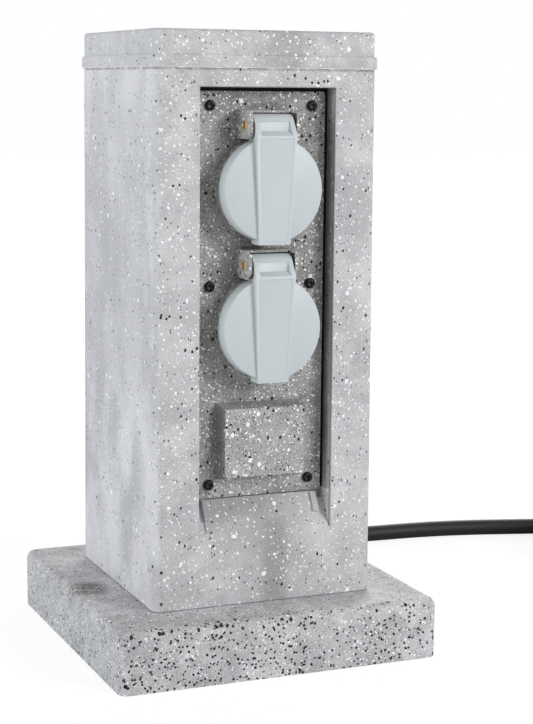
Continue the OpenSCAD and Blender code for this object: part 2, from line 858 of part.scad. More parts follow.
// The recess in the front of the hinge arm
module arm_pocket() {
    across(2 * pocket_half)
        polygon([[hinge_rise + pocket_rise, barrel_front - 0.7],
            [hinge_rise - pocket_fall, barrel_front + 0.3],
            [hinge_rise - strap_shoulder, strap_front_top],
            [hinge_rise - strap_shoulder, strap_front_top + 3],
            [hinge_rise + pocket_rise, strap_front_top + 3]]);
}

// Room for the spring, and the opening in the back of the barrel that its fixed leg passes
module spring_room() {
    translate([0, hinge_rise, hinge_out]) {
        bar_x(cavity_r, 2 * cavity_half);
        across(2 * cavity_half)
            polygon(concat([[0, 0]], [for (a = [-72, -45, -10, 30, 70]) 7 * [sin(a), -cos(a)]]));
        translate([spring_half(), 0, 0])
            rotate([90 - spring_leg_deg, 0, 0])
                translate([0, 0, 1.5])
                    cylinder(r = wire_r + fit, h = coil_r + 0.8);
    }
}

module lid(z) {
    color(lid_grey)
    on_panel(z)
    difference() {
        union() {
            rotate_extrude()
                polygon([[0, lid_front], [lid_r - 0.7, lid_front], [lid_r - 0.2, lid_front - 0.2],
                    [lid_r, lid_front - 0.7], [lid_r, lid_back], [lid_r - lid_rim_t, lid_back],
                    [lid_r - lid_rim_t, lid_front - lid_face_t], [0, lid_front - lid_face_t]]);
            intersection() {
                strap_front();
                across(2 * strap_top + 4)
                    strap_side();
            }
            translate([0, hinge_rise, hinge_out])
                bar_x(barrel_r, 2 * barrel_half);
        }
        arm_pocket();
        spring_room();
        translate([0, hinge_rise, hinge_out])
            bar_x(pin_r + turn_fit, 2 * barrel_half + 2);
    }
}

module lid_gasket(z) {
    inner = lid_r - lid_rim_t - 2.6;
    outer = lid_r - lid_rim_t - fit;
    color(black)
    on_panel(z)
        rotate_extrude()
            polygon([[inner, lid_front - lid_face_t], [outer, lid_front - lid_face_t],
                [outer, lid_back + 0.4], [outer - 0.8, lid_back], [inner + 0.9, lid_back],
                [inner, lid_back + 1.2]]);
}

// The torsion spring as a path about the hinge axis: fixed leg, turns, then the leg in the lid
function spring_half() = spring_pitch * spring_turns / 2;
function spring_turn(a) = [spring_pitch * a / 360 - spring_half(), -coil_r * cos(a), coil_r * sin(a)];
function spring_leg(r, a) = [spring_half(), -r * cos(a), r * sin(a)];
spring_path = concat(
    [[-spring_half(), -coil_r, seat_gap - hinge_out], [-spring_half(), -coil_r, -6],
        [-spring_half(), -coil_r, -1.6]],
    [for (i = [0:8 * spring_turns]) spring_turn(i * 360 / 8)],
    [spring_leg(coil_r + 0.2, spring_leg_deg - 4), spring_leg(coil_r + 1.9, spring_leg_deg)]);

module lid_spring(z) {
    color("silver")
    on_panel(z)
        translate([0, hinge_rise, hinge_out])
            tube(spring_path, wire_r, 6, [1, 0, 0], [0, 0, 1],
                [0, -cos(spring_leg_deg), sin(spring_leg_deg)]);
}

// Cores of the cable
core_r = 1.5;
core_spread = 2.3;

// One core: a feed from the cable to the lower socket, and a link on to the upper socket
module core_wires(side, lift, tint) {
    at_x = side * pin_pitch / 2;
    end_y = panel_y - terminal_back;
    start = [side * core_spread, cable_in_y, gland_z + lift];
    feed = concat([start],
        [for (p = core_points) [start[0] + (at_x - start[0]) * p[0], p[1], p[2] + lift / 2]],
        [[at_x, 2, lower_z - wire_off - 5], [at_x, -4, lower_z - wire_off],
            [at_x, end_y, lower_z - wire_off]]);
    link = [[at_x, end_y, lower_z + wire_off], [at_x, -4, lower_z + wire_off],
        [at_x, 2, lower_z + wire_off + 5], [at_x, 5, lower_z + wire_off + 16],
        [at_x, 5, upper_z - wire_off - 16], [at_x, 2, upper_z - wire_off - 5],
        [at_x, -4, upper_z - wire_off], [at_x, end_y, upper_z - wire_off]];
    color(tint) {
        tube(feed, core_r, 8, [1, 0, 0], [0, -1, 0], [0, -1, 0]);
        tube(link, core_r, 8, [1, 0, 0], [0, 1, 0], [0, -1, 0]);
    }
}

module cable_inlet() {
    color(black)
    backward(cable_in_y, gland_z)
        cylinder(r = cord_r, h = cord_exit_y - cable_in_y);
}

module gland_body() {
    color(black)
    difference() {
        union() {
            backward(gland_y - column_wall - locknut_t - 2, gland_z)
                cylinder(r = gland_thread_r, h = column_wall + locknut_t + 3);
            backward(gland_y, gland_z)
                cylinder(r = gland_hex_r, h = gland_flange_t, $fn = 6);
            backward(gland_seat_y - 1, gland_z)
                cylinder(r = gland_thread_r - 1.2, h = 9);
        }
        backward(0, gland_z)
            cylinder(r = cord_r + 0.5, h = gland_seat_y + 20);
        backward(gland_seat_y - 1, gland_z)
            cylinder(r = gland_thread_r - 2.6, h = 20);
    }
}

module gland_locknut() {
    color(black)
    difference() {
        backward(gland_y - column_wall - locknut_t - 0.1, gland_z)
            cylinder(r = gland_hex_r + 1, h = locknut_t, $fn = 6);
        backward(0, gland_z)
            cylinder(r = gland_thread_r + turn_fit, h = gland_y);
    }
}

module gland_seal() {
    color("#4a4c50")
    difference() {
        backward(gland_seat_y - 1, gland_z)
            cylinder(r = gland_thread_r - 2.6 - turn_fit, h = 10);
        backward(0, gland_z)
            cylinder(r = cord_r + turn_fit, h = gland_seat_y + 20);
    }
}

module gland_dome_nut() {
    bore = gland_thread_r - 1.2 + turn_fit;
    hex_l = 7.5;
    color(black)
    difference() {
        union() {
            backward(gland_nut_y, gland_z)
                cylinder(r = gland_hex_r, h = hex_l, $fn = 6);
            backward(gland_nut_y, gland_z)
                rotate_extrude()
                    polygon(concat([[0, 0], [gland_flats / 2 - 0.1, 0]],
                        arc([gland_flats / 2 - 4.5, gland_nut_l - 4.5], 4.4, 0, 70, 6),
                        [[0, gland_nut_l - 0.3]]));
        }
        backward(gland_nut_y - 1, gland_z)
            cylinder(r = bore, h = 10);
        backward(0, gland_z)
            cylinder(r = cord_r + 2.2, h = gland_tip_y + 5);
    }
}

// Rubber sleeve that keeps the cable from kinking where it leaves the gland
module bend_sleeve() {
    color(black)
    difference() {
        backward(gland_nut_y + 9.6, gland_z)
            rotate_extrude()
                polygon([[0, 0], [cord_r + 2.1, 0], [cord_r + 2.1, gland_nut_l - 9.2],
                    [cord_r + 2.9, gland_nut_l - 9.2], [cord_r + 2.6, gland_nut_l - 6],
                    [cord_r + 1.2, gland_nut_l + sleeve_tail_l - 11],
                    [cord_r + 0.9, gland_nut_l + sleeve_tail_l - 10], [0, gland_nut_l + sleeve_tail_l - 10]]);
        backward(gland_seat_y, gland_z)
            cylinder(r = cord_r + turn_fit, h = gland_nut_l + sleeve_tail_l + 20);
        for (i = [0:3])
            backward(gland_tip_y + 3 + i * 4, gland_z)
                difference() {
                    cylinder(r = cord_r + 6, h = 1);
                    cylinder(r = cord_r + 0.8, h = 1);
                }
    }
}

// The coil: in along the lower layer, up a layer where it turns back, out along the upper layer
function coil_radius(a) =
    coil_outer_r - coil_pitch / 360 * (a < coil_sweep_deg / 2 ? a : coil_sweep_deg - a);
function eased(v) = let (u = min(1, max(0, v))) u * u * (3 - 2 * u);
function coil_climb(a) =
    coil_pitch * eased((a - coil_sweep_deg / 2) / 180 + 0.5)
    + plug_lift * eased((a - coil_sweep_deg) / lift_deg + 1);
function coil_point(a) = [coil_at[0] + coil_radius(a) * cos(coil_start_deg - a),
    coil_at[1] + coil_radius(a) * sin(coil_start_deg - a), coil_z + coil_climb(a)];
coil_in_way = [sin(coil_start_deg), -cos(coil_start_deg), 0];
coil_in = coil_point(0) - lead_l * coil_in_way;
coil_out = coil_point(coil_sweep_deg);
tail_end = coil_out - [0, tail_l, 0];
coil_turns_path = [for (i = [0:coil_steps]) coil_point(i * coil_step_deg)];
coil_path = concat([coil_in], coil_turns_path, [coil_out - [0, tail_l / 2, 0], tail_end]);
echo(least_gap_of_coil = least_gap(coil_turns_path, cord_r, 12));
echo(least_gap_of_spring = least_gap([for (i = [0:24]) spring_turn(i * 45)], wire_r, 5));

module cord_run() {
    color(black)
    tube(concat(cord_points, [coil_in]), cord_r, 12, [0, 0, 1], [0, 1, 0], coil_in_way);
}

module cord_coil() {
    color(black)
    tube(coil_path, cord_r, 6, [0, 0, 1], coil_in_way, [0, -1, 0]);
}

// A strap drawn round the turns where three of them lie together
module cord_tie() {
    turns = [for (k = [0:2]) coil_start_deg - tie_deg + 360 * k];
    color("#2b2d30")
    translate([coil_at[0], coil_at[1], 0])
        rotate([0, 0, tie_deg])
            rotate([90, 0, 0])
                linear_extrude(tie_w, center = true)
                    difference() {
                        hull()
                            for (a = turns)
                                translate([coil_radius(a), coil_z + coil_climb(a)])
                                    circle(r = cord_r + tie_gap + tie_t, $fn = 32);
                        hull()
                            for (a = turns)
                                translate([coil_radius(a), coil_z + coil_climb(a)])
                                    circle(r = cord_r + tie_gap, $fn = 32);
                    }
}

// Places a shape on the plug's axis, built from the cord's end towards the pins
module on_plug(out) {
    translate([tail_end[0], tail_end[1] - out, plug_z])
        rotate([90, 0, 0])
            children();
}

module plug_body() {
    face_at = plug_sleeve_l + plug_l;
    color(black)
    difference() {
        on_plug(0)
            rotate_extrude()
                polygon(concat([[0, 0], [cord_r + 0.9, 0], [cord_r + 1.2, 0.6],
                    [cord_r + 3.4, plug_sleeve_l - 3]],
                    arc([cord_r + 6.4, plug_sleeve_l - 3], 3, 180, 90, 4),
                    arc([plug_r - 5, plug_sleeve_l + 4], 4, -90, 0, 5),
                    [[plug_r - 1, plug_sleeve_l + 12], [plug_r - 1.8, plug_sleeve_l + 18],
                    [plug_r - 1, plug_sleeve_l + 24], [plug_r, plug_sleeve_l + 26],
                    [plug_r, face_at], [0, face_at]]));
        on_plug(face_at - 8)
            cylinder(r = plug_r - 2.2, h = 9);
        for (z = [-1, 1])
            on_plug(face_at - 14)
                translate([-4, z * plug_r - 3, 0])
                    cube([8, 6, 15]);
    }
}

module plug_face() {
    face_at = plug_sleeve_l + plug_l;
    color("#303236")
    difference() {
        on_plug(face_at - 8 + fit)
            cylinder(r = plug_r - 2.2 - fit, h = 7.4 + 0.4);
        for (x = [-1, 1])
            on_plug(face_at - 8)
                translate([x * pin_pitch / 2, 0, -1])
                    cylinder(r = pin_root_r + turn_fit, h = 12);
        for (z = [-1, 1])
            on_plug(face_at - 15)
                translate([-4, z * plug_r - 3, 0])
                    cube([8, 6, 20]);
    }
}

module plug_pins() {
    face_at = plug_sleeve_l + plug_l;
    color("silver")
    for (x = [-1, 1])
        on_plug(face_at - 7.4)
            translate([x * pin_pitch / 2, 0, 0])
                rotate_extrude()
                    polygon(concat([[0, 0], [pin_root_r, 0], [pin_root_r, 7.5], [plug_pin_r, 7.5],
                        [plug_pin_r, plug_pin_l + 6.2]],
                        arc([plug_pin_r - 1.2, plug_pin_l + 6.2], 1.2, 15, 90, 4),
                        [[0, plug_pin_l + 7.4]]));
}

module plug_earth_strips() {
    face_at = plug_sleeve_l + plug_l;
    color("silver")
    for (z = [-1, 1])
        on_plug(face_at - 13.7)
            translate([-2.5, z * (plug_r - 2.6) - 0.4, 0])
                cube([5, 0.8, 13.5]);
}

base_plate();
column();
top_cap();
column_screws();
socket_panel();
panel_gasket();
panel_screws();
hinge_pin(upper_z);  // upper_hinge_pin
hinge_pin(lower_z);  // lower_hinge_pin
socket_insert(upper_z);  // upper_socket_insert
socket_insert(lower_z);  // lower_socket_insert
insert_screws(upper_z);  // upper_insert_screws
insert_screws(lower_z);  // lower_insert_screws
earth_clip(upper_z);  // upper_earth_clip
earth_clip(lower_z);  // lower_earth_clip
contacts(upper_z);  // upper_contacts
contacts(lower_z);  // lower_contacts
rear_cover(upper_z, [-1]);  // upper_rear_cover
rear_cover(lower_z, [-1, 1]);  // lower_rear_cover
lid(upper_z);  // upper_lid
lid(lower_z);  // lower_lid
lid_gasket(upper_z);  // upper_lid_gasket
lid_gasket(lower_z);  // lower_lid_gasket
lid_spring(upper_z);  // upper_lid_spring
lid_spring(lower_z);  // lower_lid_spring
core_wires(-1, -1.3, "saddlebrown");  // brown_wires
core_wires(1, -1.3, "royalblue");  // blue_wires
core_wires(0, 2.7, "yellowgreen");  // earth_wires
cable_inlet();
gland_body();
gland_locknut();
gland_seal();
gland_dome_nut();
bend_sleeve();
cord_run();
cord_coil();
cord_tie();
plug_body();
plug_face();
plug_pins();
plug_earth_strips();
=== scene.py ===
# %% [markdown]
# # A garden socket post
#
# The post is a square plastic column on a flat base. Its front holds a recessed panel with two mains
# sockets under self-closing lids, and a raised blank field below them. Both shells have a granite effect.
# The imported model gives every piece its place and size, so this lesson never moves one. It gives them
# rounded edges, finishes, a camera and light, and it makes the pieces that need smoother curves anew.

import json
import math

import bmesh
import bpy
from mathutils import Matrix, Vector


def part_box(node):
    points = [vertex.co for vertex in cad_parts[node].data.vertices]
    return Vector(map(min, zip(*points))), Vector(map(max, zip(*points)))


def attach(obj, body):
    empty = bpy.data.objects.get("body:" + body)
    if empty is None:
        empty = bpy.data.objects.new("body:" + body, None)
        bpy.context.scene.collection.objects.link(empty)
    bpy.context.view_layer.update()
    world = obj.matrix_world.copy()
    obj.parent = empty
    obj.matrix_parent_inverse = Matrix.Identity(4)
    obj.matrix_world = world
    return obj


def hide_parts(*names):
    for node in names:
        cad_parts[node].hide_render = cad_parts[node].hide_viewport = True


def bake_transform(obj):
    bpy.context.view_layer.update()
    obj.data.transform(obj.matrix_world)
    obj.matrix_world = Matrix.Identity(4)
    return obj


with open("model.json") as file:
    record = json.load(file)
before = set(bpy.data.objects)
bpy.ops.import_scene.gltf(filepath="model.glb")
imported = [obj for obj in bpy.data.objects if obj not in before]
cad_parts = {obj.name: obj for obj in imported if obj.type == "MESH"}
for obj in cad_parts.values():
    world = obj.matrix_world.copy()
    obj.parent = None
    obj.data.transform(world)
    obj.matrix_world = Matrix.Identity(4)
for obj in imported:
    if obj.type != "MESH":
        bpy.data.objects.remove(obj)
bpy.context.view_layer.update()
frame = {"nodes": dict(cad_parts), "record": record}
nodes = frame["nodes"]
slot_of = {part["node"]: part["material_slot"] for part in frame["record"]["subparts"]}
body_of = {node: body for body, names in frame["record"]["behaviour"]["bodies"].items() for node in names}
hinge_at = {joint["child"]: Vector(joint["pos_m"]) for joint in frame["record"]["behaviour"]["joints"]}
MM = 0.001

# %% [markdown]
# ## The camera
#
# The photograph was taken from the post's left, a little above the sockets, with a long lens. Its place was
# worked out from the straight edges of the base and the column. A long lens keeps the upright edges almost
# parallel, which is why the distance matters as much as the angle.

# %% Camera at the photograph's viewpoint
IMAGE_HEIGHT = 724
FOCAL_PIXELS = 1774.246
SENSOR = 36.0
CAMERA_PLACE = Vector((-0.34204, -0.86795, 0.29182))


def camera_axes(pitch, roll, yaw):
    """Right, up and back directions of a camera that looks along +Y when all angles are zero."""
    p, r, y = (math.radians(angle) for angle in (pitch, roll, yaw))
    ahead = Vector((math.sin(y) * math.cos(p), math.cos(y) * math.cos(p), -math.sin(p)))
    level = Vector((math.cos(y), -math.sin(y), 0))
    lifted = level.cross(ahead)
    right = level * math.cos(r) + lifted * math.sin(r)
    return right, right.cross(ahead), -ahead


scene = bpy.context.scene
camera_data = bpy.data.cameras.new("camera")
camera = bpy.data.objects.new("camera", camera_data)
scene.collection.objects.link(camera)
scene.camera = camera
camera_data.sensor_width = SENSOR
camera_data.lens = FOCAL_PIXELS / IMAGE_HEIGHT * SENSOR
camera_data.clip_end = 20
axes = camera_axes(pitch=8.838, roll=0.543, yaw=22.924)
turn = Matrix(axes).transposed().to_4x4()
camera.matrix_world = Matrix.Translation(CAMERA_PLACE) @ turn
scene.view_settings.view_transform = "Standard"
print("Lens:", round(camera_data.lens, 2), "mm")

# %% [markdown]
# ## The cable
#
# A rubber cable is a constant round section swept along one smooth line. A curve with a bevel gives that
# form, and it is turned into a mesh here, so that every tube of the model is handled in one way. The route
# starts straight out of the gland's sleeve at the column's back, drops over the base plate and follows the
# floor. The rest is wound into a coil of two layers, outside the view. The points are the ones that the
# solid model follows, and a smooth curve is laid through all of them.


# %% Smooth lines and tubes along them
def smooth_line(points, pieces):
    """The points with that many steps from each to the next, on a curve through all of them."""
    points = [Vector(point) for point in points]
    ends = [2 * points[0] - points[1]] + points + [2 * points[-1] - points[-2]]
    line = []
    for before, start, stop, after in zip(ends, ends[1:], ends[2:], ends[3:]):
        for step in range(pieces):
            t = step / pieces
            line.append(0.5 * (2 * start + (stop - before) * t
                               + (2 * before - 5 * start + 4 * stop - after) * t ** 2
                               + (3 * start - before - 3 * stop + after) * t ** 3))
    return line + [points[-1]]


def as_object(name, mesh):
    """A mesh as an object of the scene, at the origin."""
    piece = bpy.data.objects.new(name, mesh)
    scene.collection.objects.link(piece)
    return piece


def tubes(name, lines, radius, sides):
    """Round tubes with closed ends along lines of points in metres, as one mesh object."""
    curve = bpy.data.curves.new(name, "CURVE")
    curve.dimensions = "3D"
    curve.bevel_depth = radius
    curve.bevel_resolution = sides // 4 - 1
    curve.use_fill_caps = True
    for line in lines:
        spline = curve.splines.new("POLY")
        spline.points.add(len(line) - 1)
        for spline_point, place in zip(spline.points, line):
            spline_point.co = (*place, 1)
    swept = bpy.data.objects.new(name, curve)
    mesh = bpy.data.meshes.new_from_object(swept)
    bpy.data.objects.remove(swept)
    bpy.data.curves.remove(curve)
    mesh.name = name
    mesh.shade_smooth()
    return as_object(name, mesh)


print("Tube tools ready")

# %% [markdown]
# The route is written in millimetres. The coil's points follow from one angle: the lower layer winds
# inwards, the line climbs to the upper layer halfway, winds outwards again and rises to the plug.

# %% Route of the cable
CABLE_RADIUS = 5.0
ROUTE = [(0, 101, 52), (0, 113, 52), (5, 128, 50), (15, 141, 46), (28, 150, 39.5), (44, 154, 31),
         (62, 153.5, 20.5), (80, 151.5, 13), (98, 148.5, 8), (117, 145, 5.6), (138, 141.5, 5.2),
         (160, 139, 5.2), (184, 137.5, 5.2), (207, 134.5, 5.2), (230, 129.5, 5.2), (252, 123, 5.2),
         (274, 115.5, 5.4), (290, 109, 5.8), (301, 104, 6.3)]
COIL_X, COIL_Y, COIL_Z = 312, 36, 6.4
COIL_RADIUS = 63
COIL_PITCH = 10.6
COIL_START = 75
COIL_STEPS = 77
STEP_ANGLE = 15
PLUG_Z = 19
LEAD, TAIL = 10, 26
LIFT_ANGLE = 135
COIL_SWEEP = COIL_STEPS * STEP_ANGLE


def eased(share):
    """A smooth step from 0 to 1."""
    share = min(1, max(0, share))
    return share * share * (3 - 2 * share)


def coil_point(angle):
    """A point of the coil's line, that angle in degrees from where the coil starts."""
    wound = angle if angle < COIL_SWEEP / 2 else COIL_SWEEP - angle
    radius = COIL_RADIUS - COIL_PITCH / 360 * wound
    heading = math.radians(COIL_START - angle)
    height = COIL_Z + COIL_PITCH * eased((angle - COIL_SWEEP / 2) / 180 + 0.5)
    height += (PLUG_Z - COIL_Z - COIL_PITCH) * eased((angle - COIL_SWEEP) / LIFT_ANGLE + 1)
    return Vector((COIL_X + radius * math.cos(heading), COIL_Y + radius * math.sin(heading), height))


coil_heading = Vector((math.sin(math.radians(COIL_START)), -math.cos(math.radians(COIL_START)), 0))
coil_turns = [coil_point(step * STEP_ANGLE) for step in range(COIL_STEPS + 1)]
tail = [coil_turns[-1] - Vector((0, share * TAIL, 0)) for share in (0.5, 1)]
cable_points = ROUTE + [coil_turns[0] - LEAD * coil_heading] + coil_turns + tail
cable_line = [point * MM for point in smooth_line(cable_points, 3)]
cable_length = sum((b - a).length for a, b in zip(cable_line, cable_line[1:]))
cable = tubes("supply_cable", [cable_line], CABLE_RADIUS * MM, sides=28)
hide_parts("cord_run", "cord_coil")
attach(cable, "post")
print("Cable length:", round(cable_length, 3), "m in", len(cable_line), "points")

# %% [markdown]
# ## Finishes as small sums
#
# A finish is a tree of shader nodes. Written as Python sums it stays readable: `Value` wraps one output
# socket, and a plus or times sign on it adds the Math node. `Finish` holds one material and has a single
# method that makes every other node. All patterns read the object's own coordinates in metres, so a chip
# of a millimetre is written as a millimetre, and a stain can be put where the real one is.


# %% Values that change over a surface
class Value:
    """A number that changes over a surface. Signs on it add Math nodes to the finish."""

    def __init__(self, finish, socket):
        self.finish, self.socket = finish, socket

    def sum_of(self, operation, *values):
        return self.finish.node("ShaderNodeMath", {"operation": operation}, dict(enumerate(values)))

    def __add__(self, other):
        return self.sum_of("ADD", self, other)

    def __sub__(self, other):
        return self.sum_of("SUBTRACT", self, other)

    def __rsub__(self, other):
        return self.sum_of("SUBTRACT", other, self)

    def __mul__(self, other):
        return self.sum_of("MULTIPLY", self, other)

    def __truediv__(self, other):
        return self.sum_of("DIVIDE", self, other)

    def __pow__(self, other):
        return self.sum_of("POWER", self, other)

    def __lt__(self, other):
        return self.sum_of("LESS_THAN", self, other)

    def between(self, low, high):
        """0 at low and 1 at high, smooth, and held outside them. Low may be the larger one."""
        if low > high:
            return 1 - self.between(high, low)
        return self.finish.node("ShaderNodeMapRange", {"interpolation_type": "SMOOTHSTEP"},
                                {"Value": self, "From Min": low, "From Max": high})

    def inside(self, low, high, soft):
        """1 between low and high, and 0 beyond a soft border outside them."""
        return self.between(low - soft, low) * self.between(high + soft, high)

    __radd__ = __add__
    __rmul__ = __mul__


print("Value is ready")


# %% A finish with one method for all its nodes
def paint(red, green, blue):
    """A colour as read off a screen, from 0 to 255, in the linear numbers that a shader needs."""
    linear = [((c / 255 + 0.055) / 1.055) ** 2.4 if c > 10 else c / 255 / 12.92 for c in (red, green, blue)]
    return (*linear, 1.0)


class Finish:
    """One material, with its principled shader."""

    def __init__(self, name, roughness=0.5, **sockets):
        self.material = bpy.data.materials.new(name)
        self.material.use_nodes = True
        self.tree = self.material.node_tree
        self.shader = self.tree.nodes["Principled BSDF"]
        self.place = self.node("ShaderNodeTexCoord", output="Object")
        self.colour = self.ground = None
        self.set(Roughness=roughness, **sockets)

    def feed(self, socket, value):
        if isinstance(value, Value):
            self.tree.links.new(value.socket, socket)
        else:
            socket.default_value = value

    def node(self, kind, settings=None, values=None, output=0):
        """Adds a node: its settings first, then the values or links of its sockets."""
        made = self.tree.nodes.new(kind)
        for name, setting in (settings or {}).items():
            setattr(made, name, setting)
        for socket, value in (values or {}).items():
            self.feed(made.inputs[socket], value)
        return Value(self, made.outputs[output])

    def set(self, **sockets):
        for name, value in sockets.items():
            self.feed(self.shader.inputs[name.replace("_", " ")], value)

    def axes(self):
        """The x, y and z of the place on the object."""
        split = self.node("ShaderNodeSeparateXYZ", values={0: self.place})
        return [split] + [Value(self, split.socket.node.outputs[i]) for i in (1, 2)]

    def clouds(self, size, detail=2.0, seed=(0, 0, 0), stretch=(1, 1, 1)):
        """Soft noise from 0 to 1 whose blotches are about that size."""
        place = self.node("ShaderNodeMapping", values={
            "Vector": self.place, "Location": seed, "Scale": stretch})
        return self.node("ShaderNodeTexNoise", values={"Vector": place, "Scale": 1 / size, "Detail": detail})

    def mix(self, share, below, above):
        """Colour below where share is 0, and above where it is 1."""
        return self.node("ShaderNodeMix", {"data_type": "RGBA"}, {0: share, 6: below, 7: above}, 2)

    def add(self, share, colour):
        """Lays a colour over what is there, as far as share says."""
        self.colour = self.mix(share, self.colour, colour)

    def bump(self, height, depth, strength=1.0):
        """Sets the normal from a height; depth is its full scale in metres."""
        self.set(Normal=self.node("ShaderNodeBump", values={
            "Height": height, "Distance": depth, "Strength": strength}))


print("Finish is ready")

# %% [markdown]
# ## The granite effect
#
# The shells are grey plastic with white and black chips moulded in, and a cloudy ground where the melt
# mixed unevenly. A texture of cells scatters one point in each. A cell holds a chip where its random
# colour falls below a share, and the chip's radius comes from the same random colour. A little noise on
# the coordinates tears the round chips into flakes. Several layers are laid over each other: coarse and
# fine white ones, black ones, and a grain as fine as the eye can still see.


# %% One layer of chips
def chips(finish, apart, share, radius, seed, tilt=0.0, long=1.0, torn=1.0):
    """How strongly chips show, from 0 to 1.

    The cells are that far apart and the chips reach that radius, both in millimetres. Share says how many
    of the cells hold a chip, long how stretched the chips are, and torn how ragged.
    """
    bend = finish.node("ShaderNodeTexNoise", values={
        "Vector": finish.place, "Scale": 0.9 / (radius * MM), "Detail": 1.0}, output="Color")
    push = finish.node("ShaderNodeVectorMath", {"operation": "SCALE"}, {0: bend, "Scale": torn * radius * MM})
    place = finish.node("ShaderNodeVectorMath", {"operation": "ADD"}, {0: finish.place, 1: push})
    place = finish.node("ShaderNodeMapping", {"vector_type": "TEXTURE"}, {
        "Vector": place, "Location": seed, "Rotation": (tilt, tilt, 0), "Scale": (1, 1, long)})
    cell = finish.node("ShaderNodeTexVoronoi", values={"Vector": place, "Scale": 1 / (apart * MM)})
    dice = finish.node("ShaderNodeSeparateColor", values={
        0: Value(finish, cell.socket.node.outputs["Color"])})
    size_dice, strength = (Value(finish, dice.socket.node.outputs[i]) for i in (1, 2))
    reach = (size_dice * size_dice * 0.65 + 0.35) * (radius / apart)
    return (cell < reach) * (dice < share) * (strength * 0.1 + 0.9)


def spot(across, up, centre, radii):
    """How far a place is from the middle of an oval, which is 1 on its rim."""
    return (((across - centre[0]) / radii[0]) ** 2 + ((up - centre[1]) / radii[1]) ** 2) ** 0.5


CHIP_WHITE = paint(250, 251, 252)
CHIP_BLACK, CHIP_DARK = paint(5, 5, 6), paint(70, 70, 72)
GRAIN_SIZE = 0.0007


def granite(name, dark, pale, seed, patch=0.05):
    """The cloudy ground and the fine grain. Chips are laid over it, and moulded() ends it."""
    finish = Finish(name, 0.6, Specular_IOR_Level=0.2)
    finish.ground = (finish.clouds(patch, 3, seed).between(0.3, 0.7) * 0.35
                     + finish.clouds(patch / 4, 3, seed).between(0.32, 0.68) * 0.25
                     + finish.clouds(GRAIN_SIZE, 2, seed).between(0.3, 0.7) * 0.4)
    finish.colour = finish.mix(finish.ground, dark, pale)
    return finish


def moulded(finish):
    """Ends a granite finish with its colour, and a face with fine pits and a slight waviness."""
    finish.set(Base_Color=finish.colour)
    finish.bump(finish.clouds(0.0011, 3) * 0.6 + finish.clouds(0.009, 2) * 0.4, 0.0003, 0.5)
    print(finish.material.name, len(finish.tree.nodes), "nodes")


# %% [markdown]
# ### The column
#
# The front is rougher than the left side, which came off a smoother wall of the mould: that side is a
# little bluer, has soft pale patches and fewer chips. A finish is built up like paint, and each line
# below lays one more layer over the last. Its first factor says where the layer lies.

# %% Column ground and left side
PANEL_Y = -0.0494
RECESS_HALF, RECESS_TOP, SILL_Z = 0.036, 0.2912, 0.068
FRONT_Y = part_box("column")[0].y
INNER_Y = -0.03

column = granite("column_granite", paint(168, 168, 171), paint(219, 219, 221), (3.1, 1.7, 0.4))
x, y, z = column.axes()
at_left = x.between(-0.0562, -0.0585)
on_front = y.between(-0.055, -0.058)
patches = column.clouds(0.03, 4, (1, 2, 3), (1, 1, 0.6)).between(0.34, 0.66) * 0.65 + column.ground * 0.35
column.add(at_left, column.mix(patches, paint(173, 175, 180), paint(220, 222, 227)))
column.add(at_left * z.between(0.20, 0.27) * 0.4, paint(209, 211, 216))
column.add(at_left * z.inside(0.17, 0.215, 0.06) * 0.5, paint(180, 182, 187))
near_corner = at_left * y.inside(-0.055, -0.047, 0.004) * column.clouds(0.018, 3).between(0.45, 0.62)
column.add(near_corner * z.between(0.1, 0.16) * 0.6, paint(214, 217, 221))
sparse = 1 - at_left * 0.45
print("Layers so far on", column.material.name)

# %% [markdown]
# Water that leaves the sill has drawn a darker, warmer smear down the front. The sill is painted darker as
# painted shade on its upward face, most towards its left end, and the front just below it has a faint
# painted shade. A faint ring further up comes from the mould. They are ovals and bands with soft borders,
# and the strongest are multiplied by the ground, so that their edges look worn.

# %% Stains and painted shade on the column
smear = x.inside(0.003, 0.007, 0.010) * z.inside(0.036, 0.070, 0.02) * y.between(-0.053, -0.058)
column.add(smear * (column.ground * 0.7 + 0.3), paint(140, 135, 133))
on_sill = y.between(-0.0593, -0.0587) * z.inside(0.066, 0.086, 0.0005) * x.inside(-0.031, 0.031, 0.001)
on_sill = on_sill * z.between(0.067, 0.080) * (y < INNER_Y)
# Painted shade: the sill's upward face is painted darker, most towards its left end.
column.add(on_sill * (x.between(0.030, -0.004) * 0.5 + column.ground * 0.4), paint(142, 142, 144))
# Painted shade: the front just below the sill is painted faintly darker.
under_sill_shade = x.inside(-0.028, 0.020, 0.012) * z.inside(0.055, 0.072, 0.012) * on_front
column.add(under_sill_shade * 0.25, paint(150, 150, 152))
ring = spot(x, z, (0.0465, 0.158), (0.005, 0.006)).inside(0.94, 1.06, 0.12)
column.add(ring * on_front * 0.25, paint(150, 150, 152))
print("Stains: smear, sill, shade under the sill, ring")

# %% [markdown]
# White chips come in three sizes and dark ones in two. A seed shifts each layer, so that no two repeat
# each other, and a tilt turns the long flakes of a layer its own way.

# %% Chips of the column
column.add(chips(column, 1.45, 0.8, 0.42, (0.7, 0.9, 0.5), 0.5, 1.8) * sparse, CHIP_WHITE)
column.add(chips(column, 2.2, 0.7, 0.66, (0.3, 0.1, 0.2), -0.7, 2.0, 1.3) * sparse, CHIP_WHITE)
column.add(chips(column, 4.4, 0.4 * sparse, 1.15, (1.3, 0.1, 0.9), 0.9, 1.3, 1.5), CHIP_WHITE)
column.add(chips(column, 1.8, 0.55, 0.46, (0.2, 0.5, 0.6), 0.1, 1.6), CHIP_DARK)
column.add(chips(column, 3.2, 0.6 * sparse, 0.75, (1.3, 0.6, 0.8), 0.2, 1.3), CHIP_BLACK)
print("Chips: five layers")
